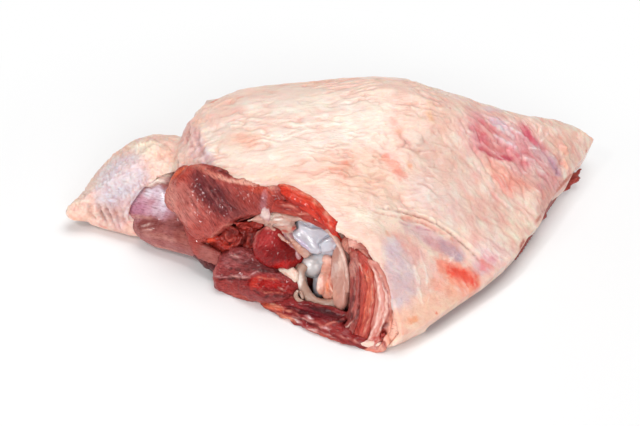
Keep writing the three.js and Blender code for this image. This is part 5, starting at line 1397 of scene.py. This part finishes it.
OPENING["fat_wedge"] = dict(
    slot="fat", grid=0.45, grow=0.4, base="#EBD2C2", turn=0, lumps=0.5, fibres=0.2, streaks=0.15,
    added=(
        ("slab", ((27.4, 19.4), (30.6, 20.6), (34.6, 22), (38, 20.6), (38.6, 17.6), (37, 15.8),
         (33, 17.4)), -3, 3, 1.2),
    ),
    patches=(("#D98A74", (33, 18.6), (3, 0.7), -10, 0.6, 0.6),),
    strokes=(("#EE9A80", 0.6, 0.6, 0, 0, (34, 26), (36.4, 23.6), (37, 20.6)),),
)


def build_opening_pieces(finishes):
    """Builds the pieces of the opening whose slots have these finishes"""
    chosen = [node for node, about in OPENING.items() if about["slot"] in finishes]
    for number, node in enumerate(chosen):
        about = OPENING[node]
        piece = soft_piece("raw_" + node, node, about["grid"], about["grow"], about.get("added", ()), CUT_MATRIX)
        mesh = piece.data
        points, normals = points_of(mesh), normals_of(mesh)
        face = pulled(to_cut(points), about.get("pulls", ()))
        points = CUT_FOOT + face @ CUT_AXES
        waver = [lattice_noise(face / 5, seed + number) for seed in (130, 160)]
        flat = face[:, :2] + np.column_stack(waver) * 0.7
        if "spine" in about:
            distance, side, along = from_line(flat, about["spine"])
            grain = np.column_stack([along, distance * side, face[:, 2]])
        else:
            grain = turned(face, about["turn"])
        grain[:, 1] += lattice_noise(face / 9, 150 + number) * 1.2
        streaks = layered_noise(grain / (6, 1.2, 1.4), 350 + number) + layered_noise(face / 3.2, 380 + number)
        move = layered_noise(points / 4.5, 200 + number) * about["lumps"]
        move += layered_noise(grain / (7, 1.5, 1.7), 300 + number, 2) * about["fibres"] * 0.55
        colours, rises = painted(plain(about["base"], points), flat, about["patches"], 400 + number * 10)
        colours = shaded(colours, streaks * 0.5, about["streaks"])
        colours, lines = brushed(colours, flat, about.get("strokes", ()), 700 + number)
        if about["slot"] in ("dark_muscle", "red_muscle"):  # juice makes meat look deeper and redder
            colours = np.maximum(colours, 0) ** 1.2
        place_points(mesh, above_surface(points + normals * (move + lines + rises)[:, None]))
        paint_piece(mesh, colours, grain)
        hand_in(piece, about["slot"], finishes[about["slot"]], node)


def build_cut_muscles():
    # Dark thigh muscle shows coarse fibres where it is cut, and the wet red one is smoother and glossier.
    build_opening_pieces(
        {
            "dark_muscle": muscle_material("Cut dark muscle", 0.5, 3.6, 0.75, 0.37, 0.7),
            "red_muscle": muscle_material("Wet red muscle", 0.5, 4.5, 0.55, 0.32, 0.65),
        }
    )


def build_pale_pieces():
    # The bone's end and the cartilage are smooth and glossy and let light in. Tendon and fascia are denser, with more
    # warm colour on their lumps, and fat is lumpy and duller.
    build_opening_pieces(
        {
            "bone": pale_tissue_material("Bone end in cartilage", "#BDB3B2", 0.3, 0.25, 0.1, 2.0),
            "cartilage": pale_tissue_material("Joint cartilage", "#B9AFC2", 0.3, 0.18, 0.1, 3.0),
            "tendon": pale_tissue_material("Tendon", "#B08474", 0.4, 0.3, 0.2, 1.5),
            "fascia": pale_tissue_material("Fascia", "#B57565", 0.45, 0.3, 0.3, 1.5),
            "fat": pale_tissue_material("Poultry fat", "#D0806B", 0.45, 0.35, 0.4, 2.0, 2.2),
        }
    )


# ---------------------------------------------------------------- the meat under the skin

# Patches on the meat inside the opening, in mm in the cut face's frame. The darkest ones are painted shade in the
# recesses behind the pieces: behind the rolled muscle, in the slit of the tendon loop and at the foot of the fascia
# and flap. The thin dark red one is the crevice at the folded corner, darkened with painted shade.
HOLLOW_PATCHES = (
    ("#5E1F20", (5, 27), (16, 10), -20, 0.9, 0.4),
    ("#B99C8C", (28, 36), (18, 8), 10, 0.9, 0.3),
    ("#8C6A5E", (50, 24), (12, 16), 0, 0.9, 0.3),
    ("#3E1516", (44, 12), (8, 5), 0, 0.95, 0.3),
    ("#4A181B", (62, 8), (8, 4), 5, 0.95, 0.4),
    ("#EDB0A0", (62, 42.5), (9, 4.5), -35, 0.95, 0.4),
    ("#E0A192", (89, 10), (6, 16), -5, 1, 0.3),
    ("#FFC8B2", (91, 8), (3.4, 16), 4, 1, 0.2),
    ("#7A1B18", (87, 7), (1.2, 7), 5, 1, 0.4),
    ("#A86A63", (-8, 14), (8, 6), -10, 0.7, 0.5),
)
# Brush strokes on the lobe's bare front, in mm: its thin shiny membrane, whose pale lilac-white strokes are painted
# highlights of its shine, and the muscle that bulges below it, with thin pale lines on it that are painted highlights.
LOBE_STROKES = (
    ("#D2A4B4", 8, 0.8, 0.4, 0, (-99.5, 5.5, 16), (-92.5, 4.5, 20), (-86, 1, 20)),
    ("#DDD0DE", 4.4, 0.75, 0.5, 0, (-87, 7, 25.5), (-84, 2.5, 22.5), (-86, 0, 19)),
    ("#F7F3FB", 1.4, 0.55, 0.6, 0.2, (-86, 6.5, 25.5), (-84, 3.5, 23.5), (-85, 1.5, 21)),
    ("#E9E2EC", 2.6, 0.8, 0.7, 0, (-94, 9, 24), (-88.5, 6, 24)),
    ("#B8788F", 4, 0.8, 0.4, 0, (-99.5, 5, 15), (-95.5, 4, 17.5)),
    ("#98504A", 6, 0.9, 0.3, 0.9, (-97.5, 4, 6), (-89, -2.5, 11.5), (-83, -5.5, 9.5)),
    ("#8A423F", 3, 0.7, 0.5, 0, (-94, 0.5, 10.5), (-87.5, -3, 13)),
    ("#EBC0B6", 0.5, 0.8, 0, 0.3, (-96, 3.5, 5.5), (-91.5, -1, 10.5), (-87.5, -3, 12), (-84, -5.5, 13)),
    ("#F6D8D0", 0.5, 0.8, 0, 0.3, (-94, 5.5, 0.5), (-91, 2.5, 3.5), (-87.5, -0.5, 5)),
    ("#CE8476", 2, 0.7, 0.5, 0, (-101.5, 4.5, 9)),
    ("#CF8C80", 1.8, 0.7, 0.4, 0, (-79, -4, 1.5)),
    ("#E8B5AC", 0.5, 0.7, 0, 0.2, (-102, 6, 14), (-97, 2.5, 11.5), (-92.5, 2, 16)),
    ("#CE8476", 2, 0.7, 0.5, 0, (-102, 1.5, 8), (-97, -3, 4)),
    ("#CF8C80", 1.8, 0.7, 0.4, 0, (-90, -8, 4), (-80, -13, 5), (-70, -18, 6)),
    ("#A55A4E", 5, 0.7, 0.5, 0, (-74, -14, 14), (-64, -20, 13), (-58, -23, 12)),
    ("#7E3C3A", 3, 0.6, 0.5, 0, (-95, -3, 12.5), (-91, -4.4, 13.6), (-87, -5.6, 14.4)),
    ("#C08A7E", 1.2, 0.7, 0.4, 0.15, (-102.6, 5.9, 12.4), (-100, 4.3, 12.4), (-96.3, 1.8, 13.8), (-92.6, -0.2, 14.7),
     (-88, -1.6, 15)),
    ("#F2D0C6", 0.5, 0.8, 0, 0.3, (-94.9, -3.7, 12.2), (-91.9, -4.4, 13.4), (-88.4, -4.9, 14.4)),
    ("#EBC0B6", 0.5, 0.8, 0, 0.3, (-93.9, -5.3, 11), (-90.3, -6.5, 12.6), (-86.8, -7.4, 13.9)),
    ("#C28478", 1.6, 0.6, 0.4, 0, (-94.5, -5.7, 9.1), (-90.3, -8.2, 10.5), (-84, -11, 11.8), (-76, -15, 12.4)),
    # Skin that hangs over the top of the membrane.
    ("#EFD9CC", 3.4, 0.95, 0.2, 0.9, (-90, 11.5, 28.5), (-86, 12.5, 30.5), (-81, 15, 31.5)),
    ("#F4E4D8", 1.2, 0.95, 0.3, 1.2, (-94, 11, 26), (-90, 10, 27), (-87, 10.5, 28.5), (-82, 10, 29)),
    ("#A8624E", 0.5, 0.8, 0, -0.4, (-95, 10.5, 25), (-90.5, 9, 26), (-87, 9.5, 28), (-82, 9, 28.5)),
)
# The muscle that bulges out under the membrane.
LOBE_ROLLS = (
    ("strand", ((-96, 4.6, 8.5, 5), (-92.5, 1, 8.2, 6.6), (-86.5, -2.4, 7.6, 7.5), (-80.4, -5, 8.4, 8),
     (-73.5, -9, 9.6, 8), (-66, -14.5, 10, 7), (-59.5, -18.5, 10.5, 6))),
)


# Raw meat that shows under the skin's lower edge at the right.
EDGE_MEAT = (
    ("strand", ((126, 52.5, 6, 1), (121, 45, 4, 1.6), (112.6, 35.8, 2.2, 1.2), (106.4, 25.2, 1.8, 1.2),
     (99.2, 10.6, 1.5, 1), (90.2, -7.4, 1.4, 1), (85, -16.4, 1.2, 0.8))),
    ("lump", (122.6, 43.8, 5), (3.4, 1.5, 1.3), 50),
    ("lump", (117.4, 38.8, 3.6), (2.8, 1.5, 1.4), 35),
    ("lump", (103.6, 17, 2.4), (1.8, 1.4, 1.3), 60),
)


def build_meat():
    # Uncut muscle keeps its sheath, so its fibres are longer and smoother.
    material = muscle_material("Whole dark muscle", 0.6, 5.0, 0.5, 0.34, 0.35)
    for node, grid, base, added in (
        ("thigh_meat", 1.2, "#A8443C", EDGE_MEAT),
        ("lobe_meat", 0.75, "#A55F5C", LOBE_ROLLS),
    ):
        piece = soft_piece("raw_" + node, node, grid, 0, added, Matrix())
        mesh = piece.data
        points, normals = points_of(mesh), normals_of(mesh)
        move = layered_noise(points / 9, 500, 2) * 0.4 + layered_noise(points / 2.5, 505, 2) * 0.15
        colours = plain(base, points)
        if node == "thigh_meat":
            flat = to_cut(points)[:, :2]
            colours, strokes = painted(colours, flat, HOLLOW_PATCHES, 520)
        else:
            colours, strokes = brushed(colours, points, LOBE_STROKES, 540)
        colours = shaded(colours, layered_noise(turned(points, 70) / (7, 1.6, 1.6), 550), 0.3)
        place_points(mesh, above_surface(points + normals * (move + strokes)[:, None]))
        paint_piece(mesh, colours, turned(points, -20))
        hand_in(piece, "dark_muscle", material, node)


# ---------------------------------------------------------------- the stage


# The floor's shadow ends between these distances in metres, and its middle lies opposite to this step.
SHADOW_REACH = (0.1, 0.26)
SHADOW_CENTRE = (0.025, 0.035, 0)
# The camera's place in metres, its tilt in degrees and its lens and film width in mm, and what the lights point at.
CAMERA_PLACE = (-0.008279, -0.609921, 0.494134)
CAMERA_TILT = 52
LENS, FILM = 90, 36
LIT_POINT = (0, 0, 0.03)


def build_stage(settings):
    scene = bpy.context.scene
    floor_mesh = bpy.data.meshes.new("floor")
    shape = bmesh.new()
    bmesh.ops.create_grid(shape, x_segments=1, y_segments=1, size=3)
    shape.to_mesh(floor_mesh)
    shape.free()
    floor = bpy.data.objects.new("floor", floor_mesh)
    scene.collection.objects.link(floor)
    material, tree = new_material("White studio paper")
    # Matt paper that takes the thigh's shadow, and goes over into plain white round it.
    paper = add(
        tree, "BsdfPrincipled", {"Base Color": rgba(settings.floor_hex), "Roughness": 0.8, "Specular IOR Level": 0.1}
    )
    lit = add(tree, "Emission", {"Color": (1, 1, 1, 1), "Strength": 1.0})
    place = add(tree, "TexCoord")
    moved = add(tree, "VectorMath", {0: place.outputs["Object"], 1: SHADOW_CENTRE}, operation="ADD")
    away = add(tree, "VectorMath", {0: moved}, operation="LENGTH").outputs["Value"]
    share = add(
        tree, "MapRange",
        {"Value": away, "From Min": SHADOW_REACH[0], "From Max": SHADOW_REACH[1]},
        interpolation_type="SMOOTHSTEP",
    )
    floor_shader = add(tree, "MixShader", {0: share, 1: paper, 2: lit})
    add(tree, "OutputMaterial", {"Surface": floor_shader})
    floor_mesh.materials.append(material)

    # White all round for the eye, a weaker even light on the thigh, and little to mirror, so that its wet gloss keeps
    # its contrast.
    world = bpy.data.worlds.new("Studio")
    scene.world = world
    world.use_nodes = True
    tree = world.node_tree
    tree.nodes.clear()
    path = add(tree, "LightPath")
    even = add(tree, "Background", {"Color": (1, 1, 1, 1), "Strength": settings.fill_light})
    mirrored = add(tree, "Background", {"Color": (1, 1, 1, 1), "Strength": 0.15})
    white = add(tree, "Background", {"Color": (1, 1, 1, 1), "Strength": 1.0})
    light_rays = add(tree, "MixShader", {0: path.outputs["Is Glossy Ray"], 1: even, 2: mirrored})
    all_rays = add(tree, "MixShader", {0: path.outputs["Is Camera Ray"], 1: light_rays, 2: white})
    add(tree, "OutputWorld", {"Surface": all_rays})

    # Lamps: the place and the side of each in metres, and its power.
    for name, place, size, watts in (
        ("Overhead softbox", (0.2, 0.32, 1.4), 1.1, settings.key_light),
        ("Front softbox", (0.05, -1.4, 0.5), 0.8, settings.front_light),
        ("Small softbox", (-0.5, -0.35, 0.75), 0.12, settings.glint_light),
        ("Low small softbox", (-0.85, -0.75, 0.45), 0.12, settings.glint_light * 1.1),
    ):
        light = bpy.data.lights.new(name, "AREA")
        light.shape = "SQUARE"
        light.size = size
        light.energy = watts
        lamp = bpy.data.objects.new(name, light)
        lamp.location = place
        lamp.rotation_euler = (Vector(LIT_POINT) - lamp.location).to_track_quat("-Z", "Y").to_euler()
        scene.collection.objects.link(lamp)

    data = bpy.data.cameras.new("Camera")
    data.lens = LENS
    data.sensor_width = FILM
    data.clip_start = 0.01
    camera = bpy.data.objects.new("Camera", data)
    camera.location = CAMERA_PLACE
    camera.rotation_euler = (math.radians(CAMERA_TILT), 0, 0)
    scene.collection.objects.link(camera)
    scene.camera = camera
    scene.view_settings.view_transform = "Standard"


# ---------------------------------------------------------------- the add-on


class ThighSettings(bpy.types.PropertyGroup):
    """Sizes, colours and lights of the thigh"""

    skin_grid: bpy.props.FloatProperty(
        name="Skin grid", description="Side of the skin's faces", default=0.00085, unit="LENGTH"
    )
    crease_depth: bpy.props.FloatProperty(
        name="Crease depth", description="Depth of the skin's creases", default=0.001, unit="LENGTH"
    )
    floor_hex: bpy.props.StringProperty(
        name="Floor colour", description="Colour of the paper that the thigh lies on", default="#F3F3F3"
    )
    fill_light: bpy.props.FloatProperty(
        name="Fill light", description="Strength of the light from all round", default=0.28
    )
    key_light: bpy.props.FloatProperty(
        name="Key light", description="Power of the overhead softbox in watts", default=13.2
    )
    front_light: bpy.props.FloatProperty(
        name="Front light", description="Power of the front softbox in watts", default=10.0
    )
    glint_light: bpy.props.FloatProperty(
        name="Glint light", description="Power of the small softbox in watts", default=1.6
    )


class THIGH_OT_skin(bpy.types.Operator):
    """Build the skin"""

    bl_idname = "thigh.skin"
    bl_label = "Skin"

    def execute(self, context):
        build_skin(context.scene.thigh)
        return {"FINISHED"}


class THIGH_OT_meat(bpy.types.Operator):
    """Build the meat under the skin"""

    bl_idname = "thigh.meat"
    bl_label = "Meat"

    def execute(self, context):
        build_meat()
        return {"FINISHED"}


class THIGH_OT_cut_muscles(bpy.types.Operator):
    """Build the muscles of the opening"""

    bl_idname = "thigh.cut_muscles"
    bl_label = "Cut muscles"

    def execute(self, context):
        build_cut_muscles()
        return {"FINISHED"}


class THIGH_OT_joint(bpy.types.Operator):
    """Build the bone, cartilage, tendons, fat and fascia"""

    bl_idname = "thigh.joint"
    bl_label = "Joint"

    def execute(self, context):
        build_pale_pieces()
        return {"FINISHED"}


class THIGH_OT_stage(bpy.types.Operator):
    """Build the floor, lights and camera"""

    bl_idname = "thigh.stage"
    bl_label = "Stage"

    def execute(self, context):
        build_stage(context.scene.thigh)
        return {"FINISHED"}


OPERATORS = (THIGH_OT_stage, THIGH_OT_skin, THIGH_OT_meat, THIGH_OT_cut_muscles, THIGH_OT_joint)


class THIGH_PT_panel(bpy.types.Panel):
    """Lists the steps that build the thigh"""

    bl_idname = "THIGH_PT_panel"
    bl_label = "Raw turkey thigh"
    bl_space_type = "VIEW_3D"
    bl_region_type = "UI"
    bl_category = "Thigh"

    def draw(self, context):
        for name in ThighSettings.__annotations__:
            self.layout.prop(context.scene.thigh, name)
        for operator in OPERATORS:
            self.layout.operator(operator.bl_idname)


CLASSES = (ThighSettings, *OPERATORS, THIGH_PT_panel)


def register():
    for made in CLASSES:
        bpy.utils.register_class(made)
    bpy.types.Scene.thigh = bpy.props.PointerProperty(type=ThighSettings)


def unregister():
    del bpy.types.Scene.thigh
    for made in reversed(CLASSES):
        bpy.utils.unregister_class(made)


def main():
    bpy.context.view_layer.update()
    register()
    bpy.ops.thigh.stage()
    bpy.ops.thigh.skin()
    bpy.ops.thigh.meat()
    bpy.ops.thigh.cut_muscles()
    bpy.ops.thigh.joint()


if __name__ == "__main__":
    main()
